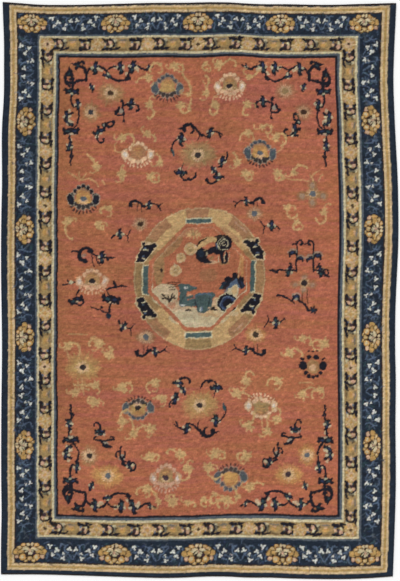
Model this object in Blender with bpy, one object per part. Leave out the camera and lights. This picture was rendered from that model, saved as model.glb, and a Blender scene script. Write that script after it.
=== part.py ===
"""A Chinese knotted-pile rug, lying flat.

The rug is one woven slab of wool pile on a cotton ground. A wool yarn is wrapped along each
long edge (the selvedge) and along each end, so that the weave can't run out. Those four wrapped
edges are pieces of their own, fitted round the slab.

Metres, +X to the rug's right, +Y to its top end, +Z up. The origin is on the floor, under the
middle of the rug.
"""

import bmesh
import bpy
import numpy as np

# Driving dimensions of the rug
WIDTH = 1.828
LENGTH = 2.660
PILE_TOP = 0.0090
PILE_AT_EDGE = 0.0066
PILE_ROUNDING = 0.0060
RIPPLE = 0.0006
SIDE_BINDING_WIDTH = 0.0060
TOP_BINDING_WIDTH = 0.0080
BOTTOM_BINDING_WIDTH = 0.0060
BINDING_HEIGHT = 0.0068
GAP = 0.0003

# How finely the slab and the bindings are cut
CELLS_ACROSS = 32
CELLS_ALONG = 46
OUTLINE_STATIONS = 201
BINDING_SIDES = 10
END_TAPER = 0.35
TAPER_LENGTH = 0.004

MM = 0.001
HALF_WIDTH = WIDTH / 2
HALF_LENGTH = LENGTH / 2

# How far each edge swells out from the straight rectangle. Columns: place along the edge in
# metres from its middle, swell in millimetres (a minus sign is a hollow).
LEFT_EDGE = (
    (1.33, -3.0), (1.25, -5.5), (1.18, -8.5), (1.04, -9.5), (0.90, -8.5), (0.76, -0.5),
    (0.49, 0.0), (0.34, 3.0), (0.18, 4.5), (0.00, 3.5), (-0.14, 1.0), (-0.26, 0.0),
    (-0.56, 3.0), (-0.90, 3.5), (-1.04, 2.0), (-1.18, 4.5), (-1.33, 5.0),
)
RIGHT_EDGE = (
    (1.33, 1.0), (1.25, -2.5), (1.11, -9.0), (0.98, -12.5), (0.83, -8.0), (0.69, -1.5),
    (0.55, 6.0), (0.41, 10.0), (0.20, 9.5), (0.07, 3.5), (-0.07, -2.5), (-0.25, -4.5),
    (-0.42, -1.5), (-0.62, -3.0), (-0.90, -1.5), (-1.11, -7.0), (-1.25, -12.0), (-1.33, -15.0),
)
TOP_EDGE = (
    (-0.91, 7.5), (-0.83, 1.5), (-0.76, -4.0), (-0.63, -6.0), (-0.49, -4.0), (-0.35, 0.0),
    (-0.21, 3.5), (-0.07, 4.0), (0.07, 6.5), (0.14, 5.5), (0.21, 1.5), (0.28, -2.0),
    (0.42, -3.0), (0.56, -5.5), (0.63, -5.5), (0.76, -1.5), (0.90, 2.5),
)
BOTTOM_EDGE = (
    (-0.91, -12.5), (-0.76, -12.5), (-0.56, -7.5), (-0.42, -3.0), (-0.28, 1.5), (-0.17, 4.0),
    (-0.07, 2.0), (0.00, -1.5), (0.07, -3.0), (0.14, -2.0), (0.21, 1.5), (0.35, 3.0),
    (0.42, 6.0), (0.56, 9.0), (0.69, 9.0), (0.83, 3.0), (0.91, -3.0),
)

# Colours of the wool, as linear RGB
PILE_COLOUR = (0.40, 0.14, 0.09, 1.0)
SIDE_COLOUR = (0.028, 0.038, 0.060, 1.0)
END_COLOUR = (0.035, 0.026, 0.024, 1.0)
WOOL_ROUGHNESS = 0.92


def swell(edge, place):
    """The smooth curve through an edge's table: between two rows, a cubic that keeps their mean slopes."""
    rows = np.array(sorted(edge))
    at, value = rows[:, 0], rows[:, 1] * MM
    slope = np.gradient(value, at)
    place = np.clip(place, at[0], at[-1])
    low = np.clip(np.searchsorted(at, place) - 1, 0, len(at) - 2)
    step = at[low + 1] - at[low]
    t = (place - at[low]) / step
    start = (1 + 2 * t) * (1 - t) ** 2 * value[low] + t * (1 - t) ** 2 * step * slope[low]
    end = t * t * (3 - 2 * t) * value[low + 1] - t * t * (1 - t) * step * slope[low + 1]
    return start + end


def lie(x, y):
    """A straight rectangle's point on the real rug: each edge swells, and the inside follows."""
    across = (x + HALF_WIDTH) / WIDTH
    along = (y + HALF_LENGTH) / LENGTH
    moved_x = x - (1 - across) * swell(LEFT_EDGE, y) + across * swell(RIGHT_EDGE, y)
    moved_y = y - (1 - along) * swell(BOTTOM_EDGE, x) + along * swell(TOP_EDGE, x)
    return moved_x, moved_y


def middle():
    """The middle of the real outline's box, which is the origin."""
    y = np.linspace(-HALF_LENGTH, HALF_LENGTH, OUTLINE_STATIONS)
    x = np.linspace(-HALF_WIDTH, HALF_WIDTH, OUTLINE_STATIONS)
    left, right = lie(-HALF_WIDTH + 0 * y, y)[0], lie(HALF_WIDTH + 0 * y, y)[0]
    low, high = lie(x, -HALF_LENGTH + 0 * x)[1], lie(x, HALF_LENGTH + 0 * x)[1]
    return (left.min() + right.max()) / 2, (low.min() + high.max()) / 2


MIDDLE = middle()


def wool(name, colour):
    """A matt wool material."""
    made = bpy.data.materials.new(name)
    made.use_nodes = True
    shader = made.node_tree.nodes["Principled BSDF"]
    shader.inputs["Base Color"].default_value = colour
    shader.inputs["Roughness"].default_value = WOOL_ROUGHNESS
    return made


def add_solid(name, points, faces, material):
    """A mesh object from its points and faces, shaded smooth up to 40 degrees."""
    mesh = bpy.data.meshes.new(name)
    mesh.from_pydata([tuple(p) for p in points], [], faces)
    shape = bmesh.new()
    shape.from_mesh(mesh)
    bmesh.ops.recalc_face_normals(shape, faces=shape.faces)
    shape.to_mesh(mesh)
    shape.free()
    mesh.shade_smooth()
    mesh.set_sharp_from_angle(angle=0.7)
    mesh.materials.append(material)
    solid = bpy.data.objects.new(name, mesh)
    bpy.context.scene.collection.objects.link(solid)
    return solid


def stations(half, near, far, cells):
    """Places of the slab's cuts across, with one narrow cell at each edge for its round."""
    inner = np.linspace(-half + near + PILE_ROUNDING, half - far - PILE_ROUNDING, cells - 1)
    return np.concatenate([[-half + near], inner, [half - far]])


STATIONS_ACROSS = stations(HALF_WIDTH, SIDE_BINDING_WIDTH + GAP, SIDE_BINDING_WIDTH + GAP, CELLS_ACROSS)
STATIONS_ALONG = stations(HALF_LENGTH, BOTTOM_BINDING_WIDTH + GAP, TOP_BINDING_WIDTH + GAP, CELLS_ALONG)


def pile_height(x, y):
    """The pile's top: level, but for slow ripples a fraction of a millimetre high."""
    return PILE_TOP + RIPPLE * (np.sin(3.1 * x + 1.7 * y) + np.sin(5.3 * y - 2.2 * x + 1.0)) / 2


def make_slab(material):
    """The knotted rug itself: a grid of points on top, the same grid on the floor, and a wall round both."""
    grid_x, grid_y = np.meshgrid(STATIONS_ACROSS, STATIONS_ALONG)
    x, y = lie(grid_x, grid_y)
    z = pile_height(grid_x, grid_y)
    z[0], z[-1], z[:, 0], z[:, -1] = (PILE_AT_EDGE,) * 4
    x, y = x - MIDDLE[0], y - MIDDLE[1]
    top = np.stack([x, y, z], -1).reshape(-1, 3)
    floor = np.stack([x, y, 0 * z], -1).reshape(-1, 3)
    along, across = grid_x.shape
    below = across * along
    faces = []
    for row in range(along - 1):
        for column in range(across - 1):
            a = row * across + column
            b, c, d = a + 1, a + across + 1, a + across
            faces.append((a, b, c, d))
            faces.append((d + below, c + below, b + below, a + below))
    rim = list(range(across))
    rim += [row * across + across - 1 for row in range(1, along)]
    rim += [(along - 1) * across + column for column in range(across - 2, -1, -1)]
    rim += [row * across for row in range(along - 2, 0, -1)]
    for a, b in zip(rim, rim[1:] + rim[:1]):
        faces.append((b, a, a + below, b + below))
    return add_solid("rug_pile", np.vstack([top, floor]), faces, material)


def binding_section(width):
    """The wrapped edge cut across: flat below, round above. Rows: out from the inner face, height."""
    turn = np.linspace(0, np.pi, BINDING_SIDES - 1)
    out = width / 2 - width / 2 * np.cos(turn)
    up = BINDING_HEIGHT * (0.42 + 0.58 * np.sin(turn))
    return np.concatenate([np.stack([out, up], 1), [[width * 0.86, 0.0], [width * 0.14, 0.0]]])


def make_binding(name, width, x, y, inward, material):
    """A wrapped edge swept along its line. inward is the unit step from the edge towards the rug's middle."""
    section = binding_section(width)
    count, around = len(x), len(section)
    shrink = np.ones(count)
    shrink[[0, -1]] = END_TAPER
    points = []
    for n in range(count):
        out = width / 2 + (section[:, 0] - width / 2) * shrink[n]
        depth = width - out
        high = section[:, 1] * (0.5 + 0.5 * shrink[n])
        px, py = lie(x[n] + inward[0] * depth, y[n] + inward[1] * depth)
        points += [(a - MIDDLE[0], b - MIDDLE[1], c) for a, b, c in zip(px, py, high)]
    faces = [tuple(range(around - 1, -1, -1))]
    for n in range(count - 1):
        for k in range(around):
            a, b = n * around + k, n * around + (k + 1) % around
            faces.append((a, b, b + around, a + around))
    faces.append(tuple(range((count - 1) * around, count * around)))
    return add_solid(name, points, faces, material)


def with_ends(start, stop, between):
    """The slab's own cuts, then this edge's two ends, each with a short taper where the wrapping stops."""
    inner = between[(between > start + TAPER_LENGTH) & (between < stop - TAPER_LENGTH)]
    return np.concatenate([[start, start + TAPER_LENGTH], inner, [stop - TAPER_LENGTH, stop]])


def make_bindings(side_material, end_material):
    """The two selvedges run the rug's whole length. The two end wrappings fit between them."""
    y = with_ends(-HALF_LENGTH, HALF_LENGTH, STATIONS_ALONG)
    make_binding("selvedge_left", SIDE_BINDING_WIDTH, -HALF_WIDTH + 0 * y, y, (1, 0), side_material)
    make_binding("selvedge_right", SIDE_BINDING_WIDTH, HALF_WIDTH + 0 * y, y, (-1, 0), side_material)
    x = with_ends(STATIONS_ACROSS[0], STATIONS_ACROSS[-1], STATIONS_ACROSS)
    make_binding("end_binding_top", TOP_BINDING_WIDTH, x, HALF_LENGTH + 0 * x, (0, -1), end_material)
    make_binding("end_binding_bottom", BOTTOM_BINDING_WIDTH, x, -HALF_LENGTH + 0 * x, (0, 1), end_material)


def main():
    for old in list(bpy.data.objects):
        bpy.data.objects.remove(old)
    make_slab(wool("pile_wool", PILE_COLOUR))
    make_bindings(wool("selvedge_wool", SIDE_COLOUR), wool("end_wool", END_COLOUR))


main()
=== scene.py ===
# %% [markdown]
# # Dressing a Chinese knotted rug
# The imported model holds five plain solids: the rug's slab, two wrapped long edges and two wrapped
# ends. This lesson gives them their looks. The pattern of a knotted rug isn't printed on it. A
# weaver reads a chart with one square for each knot, so the lesson draws such a chart in numpy and
# then ties it, one mesh point for each knot. The frame comes first, because every piece has to lie
# inside the box of the solids.

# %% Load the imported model
import math

import bmesh
import bpy
import numpy as np
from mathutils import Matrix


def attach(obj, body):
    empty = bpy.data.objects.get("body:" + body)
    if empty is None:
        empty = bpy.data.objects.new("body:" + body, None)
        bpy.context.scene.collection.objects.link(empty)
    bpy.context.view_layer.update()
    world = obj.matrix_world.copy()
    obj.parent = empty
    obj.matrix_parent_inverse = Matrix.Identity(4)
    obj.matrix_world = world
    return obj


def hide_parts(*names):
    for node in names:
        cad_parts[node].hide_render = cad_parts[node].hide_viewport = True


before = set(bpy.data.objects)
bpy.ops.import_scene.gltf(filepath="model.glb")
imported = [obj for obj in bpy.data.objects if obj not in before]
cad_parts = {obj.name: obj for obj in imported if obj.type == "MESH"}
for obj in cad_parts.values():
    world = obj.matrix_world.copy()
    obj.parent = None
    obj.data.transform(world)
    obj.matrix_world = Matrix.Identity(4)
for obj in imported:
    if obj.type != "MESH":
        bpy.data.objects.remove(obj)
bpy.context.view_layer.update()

print("solids:", ", ".join(sorted(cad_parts)))

# %% [markdown]
# ## The camera
# The picture looks straight down on the rug. A long lens from six metres up keeps the rug's edges
# square. The picture's own scale, in metres for each pixel at the height of the pile, sets the
# lens. With Blender's automatic sensor fit, the sensor's width belongs to the picture's long side.

# %% Set the camera over the rug
PIXELS_WIDE, PIXELS_HIGH = 400, 581
METRES_PER_PIXEL = 0.0046331
PLAN_MIDDLE_PIXEL = (199.0, 290.3)
CAMERA_HEIGHT = 6.0
SENSOR_WIDTH = 36.0
PILE_TOP = 0.0090

camera = bpy.data.objects.new("camera", bpy.data.cameras.new("camera"))
bpy.context.scene.collection.objects.link(camera)
bpy.context.scene.camera = camera
camera.data.sensor_width = SENSOR_WIDTH
camera.data.lens = SENSOR_WIDTH * (CAMERA_HEIGHT - PILE_TOP) / (PIXELS_HIGH * METRES_PER_PIXEL)
print("lens:", round(camera.data.lens, 2), "mm")

# %% [markdown]
# ## The rug's uneven outline
# A loom holds the warps straight, but the rug leaves it a little wavy. The solids' outline is a
# straight rectangle whose edges swell by a few millimetres, and the same tables are repeated here.
# Four more tables say how the inner field's edge swells, because the border lines wave too. A
# point of the straight plan is then moved in step with the edges on either side of it.

# %% Tables of the edges
WIDTH, LENGTH = 1.828, 2.660
HALF_WIDTH, HALF_LENGTH = WIDTH / 2, LENGTH / 2
FIELD_LEFT, FIELD_RIGHT, FIELD_TOP, FIELD_BOTTOM = -0.657, 0.645, 1.081, -1.046
MM, CM = 0.001, 0.01
OUTLINE_STATIONS = 201

# Columns: place along the edge in metres, swell outwards in millimetres
LEFT_EDGE = (
    (1.33, -3.0), (1.25, -5.5), (1.18, -8.5), (1.04, -9.5), (0.90, -8.5), (0.76, -0.5),
    (0.49, 0.0), (0.34, 3.0), (0.18, 4.5), (0.00, 3.5), (-0.14, 1.0), (-0.26, 0.0),
    (-0.56, 3.0), (-0.90, 3.5), (-1.04, 2.0), (-1.18, 4.5), (-1.33, 5.0),
)
RIGHT_EDGE = (
    (1.33, 1.0), (1.25, -2.5), (1.11, -9.0), (0.98, -12.5), (0.83, -8.0), (0.69, -1.5),
    (0.55, 6.0), (0.41, 10.0), (0.20, 9.5), (0.07, 3.5), (-0.07, -2.5), (-0.25, -4.5),
    (-0.42, -1.5), (-0.62, -3.0), (-0.90, -1.5), (-1.11, -7.0), (-1.25, -12.0), (-1.33, -15.0),
)
TOP_EDGE = (
    (-0.91, 7.5), (-0.83, 1.5), (-0.76, -4.0), (-0.63, -6.0), (-0.49, -4.0), (-0.35, 0.0),
    (-0.21, 3.5), (-0.07, 4.0), (0.07, 6.5), (0.14, 5.5), (0.21, 1.5), (0.28, -2.0),
    (0.42, -3.0), (0.56, -5.5), (0.63, -5.5), (0.76, -1.5), (0.90, 2.5),
)
BOTTOM_EDGE = (
    (-0.91, -12.5), (-0.76, -12.5), (-0.56, -7.5), (-0.42, -3.0), (-0.28, 1.5), (-0.17, 4.0),
    (-0.07, 2.0), (0.00, -1.5), (0.07, -3.0), (0.14, -2.0), (0.21, 1.5), (0.35, 3.0),
    (0.42, 6.0), (0.56, 9.0), (0.69, 9.0), (0.83, 3.0), (0.91, -3.0),
)
FIELD_LEFT_EDGE = (
    (1.06, -9.5), (0.95, -9.5), (0.83, -5.5), (0.72, -3.0), (0.61, -2.5), (0.50, 0.5),
    (0.17, -0.5), (0.00, 1.5), (-0.16, 0.0), (-0.39, 3.0), (-0.50, 1.0), (-0.83, 1.0), (-0.95, -1.0),
)
FIELD_RIGHT_EDGE = (
    (1.06, -10.5), (0.95, -10.5), (0.83, -4.0), (0.72, -1.0), (0.61, 1.0), (0.50, 5.0),
    (0.39, 7.5), (0.17, 7.0), (0.06, 3.0), (-0.16, -0.5), (-0.39, 0.5), (-0.50, 2.0),
    (-0.83, 2.0), (-0.95, 0.0),
)
FIELD_TOP_EDGE = (
    (-0.62, 0.5), (-0.46, -2.0), (-0.29, -1.0), (-0.21, 1.0), (0.04, 0.5), (0.12, 6.0),
    (0.21, 5.5), (0.29, -1.0), (0.38, -3.5), (0.54, -2.5), (0.62, -1.5),
)
FIELD_BOTTOM_EDGE = (
    (-0.62, -2.0), (-0.46, 3.5), (-0.29, 5.5), (-0.12, 3.0), (-0.04, 3.0), (0.04, -1.5),
    (0.12, -4.5), (0.29, -6.0), (0.38, -4.5), (0.46, -1.0), (0.62, 1.0),
)

# %% Move the straight plan onto the real rug
def swell(edge, place):
    """The smooth curve through an edge's table: between two rows, a cubic that keeps their mean slopes."""
    rows = np.array(sorted(edge))
    at, value = rows[:, 0], rows[:, 1] * MM
    slope = np.gradient(value, at)
    place = np.clip(place, at[0], at[-1])
    low = np.clip(np.searchsorted(at, place) - 1, 0, len(at) - 2)
    step = at[low + 1] - at[low]
    t = (place - at[low]) / step
    start = (1 + 2 * t) * (1 - t) ** 2 * value[low] + t * (1 - t) ** 2 * step * slope[low]
    end = t * t * (3 - 2 * t) * value[low + 1] - t * t * (1 - t) * step * slope[low + 1]
    return start + end


def between(place, low_edge, low_field, high_field, high_edge, moved):
    """A straight piece on each side of the field and one across it, from the four lines' moves."""
    marks = (low_edge, low_field, high_field, high_edge)
    part = np.clip(np.searchsorted(marks, place) - 1, 0, 2)
    start, stop = np.take(marks, part), np.take(marks, part + 1)
    first = np.choose(part, moved[:3])
    return first + (place - start) / (stop - start) * (np.choose(part, moved[1:]) - first)


def lie_unmoved(x, y):
    """Where a point of the straight plan lies on the uneven rug, before the origin is set."""
    x, y = np.broadcast_arrays(np.asarray(x, float), np.asarray(y, float))
    sideways = (
        -swell(LEFT_EDGE, y), -swell(FIELD_LEFT_EDGE, y), swell(FIELD_RIGHT_EDGE, y), swell(RIGHT_EDGE, y)
    )
    endways = (
        -swell(BOTTOM_EDGE, x), -swell(FIELD_BOTTOM_EDGE, x), swell(FIELD_TOP_EDGE, x), swell(TOP_EDGE, x)
    )
    moved_x = x + between(x, -HALF_WIDTH, FIELD_LEFT, FIELD_RIGHT, HALF_WIDTH, sideways)
    moved_y = y + between(y, -HALF_LENGTH, FIELD_BOTTOM, FIELD_TOP, HALF_LENGTH, endways)
    return moved_x, moved_y


def outline_middle():
    """The middle of the outline's box, which is the model's origin."""
    y = np.linspace(-HALF_LENGTH, HALF_LENGTH, OUTLINE_STATIONS)
    x = np.linspace(-HALF_WIDTH, HALF_WIDTH, OUTLINE_STATIONS)
    left, right = lie_unmoved(-HALF_WIDTH, y)[0], lie_unmoved(HALF_WIDTH, y)[0]
    low, high = lie_unmoved(x, -HALF_LENGTH)[1], lie_unmoved(x, HALF_LENGTH)[1]
    return (left.min() + right.max()) / 2, (low.min() + high.max()) / 2


MIDDLE = outline_middle()


def lie(x, y):
    """Where a point of the straight plan lies in the model's own frame."""
    moved_x, moved_y = lie_unmoved(x, y)
    return moved_x - MIDDLE[0], moved_y - MIDDLE[1]


# %% Aim the camera
camera.location = (
    (PIXELS_WIDE / 2 - PLAN_MIDDLE_PIXEL[0]) * METRES_PER_PIXEL - MIDDLE[0],
    (PLAN_MIDDLE_PIXEL[1] - PIXELS_HIGH / 2) * METRES_PER_PIXEL - MIDDLE[1],
    CAMERA_HEIGHT,
)
print("the outline's middle, mm:", [round(v / MM, 2) for v in MIDDLE])

# %% [markdown]
# ## The weaver's chart
# Rugs of this kind have about seven knots to the inch each way. The chart has one entry for each
# knot, and each entry is a wool colour. Its rows and columns have places on the straight plan, in
# centimetres from the middle, so that a motif can be drawn at its real size.

# %% An empty chart
COLUMNS, ROWS = 481, 701
SIDE_BINDING, TOP_BINDING, BOTTOM_BINDING, GAP = 0.0060, 0.0080, 0.0060, 0.0003
PLAN_X = np.linspace(-HALF_WIDTH + SIDE_BINDING + GAP, HALF_WIDTH - SIDE_BINDING - GAP, COLUMNS) / CM
PLAN_Y = np.linspace(-HALF_LENGTH + BOTTOM_BINDING + GAP, HALF_LENGTH - TOP_BINDING - GAP, ROWS) / CM
KNOT = PLAN_X[1] - PLAN_X[0]
chart = np.zeros((ROWS, COLUMNS, 3))
print(f"{ROWS * COLUMNS} knots, {KNOT * 10:.2f} mm apart")

# %% [markdown]
# ## Dyes
# Old wool was dyed with a few plants and indigo, so a rug has few colours: reds faded to coral,
# three strengths of blue, a corroded brown-black, and yellows that have faded to straw, gold and
# khaki. Screen colours are turned to linear light, because a shader adds up light.

# %% The dye pots
def dye(red, green, blue):
    """A screen colour, 0 to 255, as linear light: the curve's straight foot, then its power of 2.4."""
    screen = np.array([red, green, blue]) / 255
    return np.where(screen <= 0.04045, screen / 12.92, ((screen + 0.055) / 1.055) ** 2.4)


CORAL, ROSE, RUSSET = dye(174, 103, 72), dye(168, 96, 78), dye(160, 104, 68)
NAVY, INDIGO, INK, BLACK = dye(33, 43, 56), dye(46, 56, 84), dye(30, 28, 36), dye(48, 40, 36)
SLATE, TEAL, STEEL, SEA = dye(84, 92, 100), dye(52, 76, 80), dye(88, 104, 126), dye(74, 92, 90)
IVORY, CREAM, STRAW = dye(210, 210, 200), dye(200, 188, 152), dye(192, 156, 106)
GOLD, KHAKI, TAN = dye(174, 142, 88), dye(152, 124, 82), dye(154, 128, 86)
PEACH, PINK, BROWN, PLUM = dye(216, 178, 142), dye(196, 156, 130), dye(52, 36, 28), dye(58, 42, 54)
AMBER, SAND, OLIVE = dye(188, 144, 84), dye(202, 176, 136), dye(136, 112, 76)
FAWN, MIST, GREY = dye(164, 118, 84), dye(146, 144, 128), dye(72, 76, 84)
print("27 dyes")

# %% [markdown]
# ## Slow random values
# Two things need random values that change slowly: the streaks of the dyes, and the weaver's hand.
# A small grid of random numbers is spread over the chart with smooth weights. The chart is then
# read at places that are pushed about by up to a few millimetres, so no drawn edge stays perfect.

# %% Haze and the weaver's hand
def spread(places, count):
    """Weights that carry a row of random numbers to the chart, in smooth steps between them."""
    at = np.linspace(0, count - 1, places)
    low = np.minimum(at.astype(int), count - 2)
    t = at - low
    t = t * t * (3 - 2 * t)
    weights = np.zeros((places, count))
    weights[np.arange(places), low] = 1 - t
    weights[np.arange(places), low + 1] = t
    return weights


def haze(seed, rows, columns):
    """Random values with a spread of about one, rows by columns of them over the whole chart."""
    grid = np.random.default_rng(seed).normal(size=(rows, columns))
    return spread(ROWS, rows) @ grid @ spread(COLUMNS, columns).T


# How far knots are pushed, in cm: each knot alone, small areas, larger areas
KNOT_PUSH, SMALL_PUSH, LARGE_PUSH = 0.09, 0.12, 0.16


def push(seed):
    """How far each knot is read from its own place, in cm."""
    knots = KNOT_PUSH * np.random.default_rng(seed).normal(size=(ROWS, COLUMNS))
    return knots + SMALL_PUSH * haze(seed + 1, 320, 220) + LARGE_PUSH * haze(seed + 2, 130, 90)


PUSH_X, PUSH_Y = push(31), push(41)
print("places pushed by", PUSH_X.std().round(2), "cm")

# %% [markdown]
# ## Drawing with a brush
# Chinese rug charts were drawn with a brush, so two marks are enough for every motif: a dab, which
# is an ellipse, and a stroke, which is a line that swells and thins. Both give a depth, the
# distance in centimetres inside their edge, and a knot takes the dye where the depth is positive.
# Each motif is drawn once in its own plan. A spot says where it goes, which way round and how big.

# %% Spots, dabs and strokes
# How wide a motif's soft edge is, how far a knot may be pushed, and the share of the push that
# the border's bands take, the first two in cm
SOFT, FARTHEST_PUSH, BAND_PUSH = 0.22, 0.7, 0.45


class Spot:
    """A motif's place. Its own plan is mirrored, scaled, turned by degrees, then moved to x, y."""

    def __init__(self, x=0.0, y=0.0, turn=0.0, size=1.0, flip=1):
        self.x, self.y, self.size, self.flip = x, y, size, flip
        self.cos, self.sin = math.cos(math.radians(turn)), math.sin(math.radians(turn))

    def out(self, points):
        """Points of the motif's own plan, as places on the rug's plan."""
        p = np.array(points, float) * self.size
        across, up = p[:, 0] * self.flip, p[:, 1]
        x = self.x + across * self.cos - up * self.sin
        y = self.y + across * self.sin + up * self.cos
        return np.stack([x, y], 1)

    def into(self, x, y):
        """Places on the rug's plan, as points of the motif's own plan."""
        x, y = (x - self.x) / self.size, (y - self.y) / self.size
        return (x * self.cos + y * self.sin) * self.flip, y * self.cos - x * self.sin


FLAT = Spot()


def paint(spot, low, high, depth, colour, strength=1.0, hand=1.0):
    """Dyes the knots in a box of the motif's plan: fully inside its edge, and by half at the edge.

    Depth is a function of a place that gives the distance inside the edge. Hand is the share of
    the weaver's push that the motif takes.
    """
    corners = spot.out([low, (low[0], high[1]), high, (high[0], low[1])])
    first, last = corners.min(0) - FARTHEST_PUSH, corners.max(0) + FARTHEST_PUSH
    columns = slice(*np.searchsorted(PLAN_X, (first[0], last[0])))
    rows = slice(*np.searchsorted(PLAN_Y, (first[1], last[1])))
    at_x = PLAN_X[columns][None, :] + hand * PUSH_X[rows, columns]
    at_y = PLAN_Y[rows][:, None] + hand * PUSH_Y[rows, columns]
    x, y = spot.into(at_x, at_y)
    cover = np.clip(0.5 + depth(x, y) * spot.size / SOFT, 0, 1) * strength
    chart[rows, columns] += (colour - chart[rows, columns]) * cover[..., None]


def dab(spot, x, y, wide, high, colour, tilt=0.0, strength=1.0):
    """An ellipse with half axes wide and high. Depth: one less the scaled radius, times the short axis."""
    reach, c, s = max(wide, high), math.cos(math.radians(tilt)), math.sin(math.radians(tilt))

    def depth(px, py):
        u, v = (px - x) * c + (py - y) * s, (py - y) * c - (px - x) * s
        return (1 - np.hypot(u / wide, v / high)) * min(wide, high)

    paint(spot, (x - reach, y - reach), (x + reach, y + reach), depth, colour, strength)


def curl(x, y, heading, length, first_turn, last_turn=None):
    """Points of a stem that sets out along its heading.

    Its turn, in degrees a centimetre, goes evenly from the first value to the last.
    """
    last_turn = first_turn if last_turn is None else last_turn
    s = np.linspace(0, length, int(length / 0.2) + 3)
    angle = np.radians(heading + first_turn * s + (last_turn - first_turn) * s * s / (2 * length))
    middle = (angle[1:] + angle[:-1]) / 2
    step = s[1]
    px = x + np.concatenate([[0], np.cumsum(np.cos(middle)) * step])
    py = y + np.concatenate([[0], np.cumsum(np.sin(middle)) * step])
    return np.stack([px, py], 1)


def stroke(spot, path, widths, colour, strength=1.0):
    """A brush stroke along a path.

    Depth: the most, over the path's points, of the half width there less the distance to it.
    """
    half = np.interp(np.linspace(0, 1, len(path)), np.linspace(0, 1, len(widths)), widths)
    most = max(widths)

    def depth(px, py):
        away = np.hypot(px[..., None] - path[:, 0], py[..., None] - path[:, 1])
        return (half - away).max(-1)

    paint(spot, path.min(0) - most, path.max(0) + most, depth, colour, strength)


def stem(spot, x, y, heading, length, turn, colour, widths=(0.3, 0.42, 0.3), last=None, strength=1.0):
    """A stroke along a curl."""
    stroke(spot, curl(x, y, heading, length, turn, last), widths, colour, strength)


def patch(spot, corners, colour, strength=1.0):
    """A shape with straight sides and no hollow, its corners listed anticlockwise.

    Depth: the least distance inside a side.
    """
    corners = np.array(corners, float)
    sides = np.roll(corners, -1, 0) - corners
    sides = sides / np.hypot(sides[:, :1], sides[:, 1:])

    def depth(px, py):
        across, up = px[..., None] - corners[:, 0], py[..., None] - corners[:, 1]
        return (up * sides[:, 0] - across * sides[:, 1]).min(-1)

    paint(spot, corners.min(0), corners.max(0), depth, colour, strength)


def area(left, bottom, right, top, colour, strength=1.0):
    """A straight-sided area of the plan, in centimetres."""
    def depth(px, py):
        return np.minimum(np.minimum(px - left, right - px), np.minimum(py - bottom, top - py))

    paint(FLAT, (left, bottom), (right, top), depth, colour, strength, BAND_PUSH)


# %% [markdown]
# ## Bands and lines of the border
# From the edge inwards the rug has a plain dark band, a yellow guard in three tones, the wide navy
# border, a narrow gold border between pale and slate lines, and then the coral field. Each band
# ends at its own distance from the edge on each side, as the weaver left it, so each is drawn as a
# rectangle over the one before.

# %% Nested bands
# Columns: depth of the band's outer end from the left, right, top and bottom edge in cm, its dye
BANDS = (
    (3.05, 2.95, 1.25, 2.30, SAND),
    (3.95, 3.90, 2.05, 3.35, GOLD),
    (5.15, 5.10, 3.25, 4.45, SAND),
    (6.15, 6.15, 4.25, 5.50, BROWN),
    (6.70, 6.70, 4.80, 6.05, NAVY),
    (15.70, 16.00, 14.30, 17.30, SLATE),
    (16.50, 16.95, 15.05, 18.15, CREAM),
    (17.35, 18.00, 15.90, 19.10, TAN),
    (23.30, 24.20, 22.30, 25.70, CREAM),
    (24.20, 25.15, 23.15, 26.75, SLATE),
    (25.15, 26.20, 24.15, 27.95, INK),
    (26.05, 27.40, 25.25, 29.00, CORAL),
)
LEFT, RIGHT, TOP, BOTTOM = -HALF_WIDTH / CM, HALF_WIDTH / CM, HALF_LENGTH / CM, -HALF_LENGTH / CM

chart[:] = NAVY
for left, right, top, bottom, colour in BANDS:
    area(LEFT + left, BOTTOM + bottom, RIGHT - right, TOP - top, colour)
in_left, in_right, in_top, in_bottom, _ = BANDS[-1]
field_box = (LEFT + in_left, BOTTOM + in_bottom, RIGHT - in_right, TOP - in_top)
print("field, cm:", [round(v, 1) for v in field_box])

# %% [markdown]
# ## The coral ground
# A weaver dyes wool in small lots, so each lot differs a little and the ground shows level streaks,
# called abrash. Three reds are mixed here with slow random values. Streaks are long across the rug
# and short along it, because a lot of wool is used up row by row.

# %% The field's ground
def field_ground():
    """Coral, with rose where the share is high, russet near the left edge, and a painted shade along a
    crease down the upper middle.
    """
    x, y = PLAN_X[None, :], PLAN_Y[:, None]
    columns = slice(*np.searchsorted(PLAN_X, (field_box[0], field_box[2])))
    rows = slice(*np.searchsorted(PLAN_Y, (field_box[1], field_box[3])))
    streaks = 0.22 * haze(1, 90, 4) + 0.26 * haze(2, 300, 16) + 0.14 * haze(3, 30, 20)
    rosy = 0.3 + 0.25 * np.clip(x / 20, 0, 1) * np.clip((y - 40) / 50, 0, 1)
    warm = 0.75 * np.exp(-(x - field_box[0]) / 7) + 0.2 * np.clip(-x / 60, 0, 1)
    rosy, warm = np.clip(rosy + streaks, 0, 1)[..., None], np.clip(warm - streaks, 0, 1)[..., None]
    # Painted shade: a darker line along a crease down the middle of the upper field
    crease_shade = 0.10 * np.exp(-((x - 0.2) / 0.5) ** 2) * (y > 48)
    ground = CORAL + (ROSE - CORAL) * rosy
    ground = ground + (RUSSET - ground) * warm * 0.8
    ground = ground * (1 - crease_shade[..., None])
    chart[rows, columns] = ground[rows, columns]
    return ground[rows, columns].mean((0, 1))


print("mean ground, linear:", field_ground().round(3))

# %% [markdown]
# ## Ivy and peonies of the wide border
# The navy border carries peonies seen from the side, with slate vines and pale ivy leaves between
# them. A peony is a few overlapping petals. Each petal is a dark dab with a smaller one over it, so
# a line of dark knots is left round it, and the last petals drawn lie on top.

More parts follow.
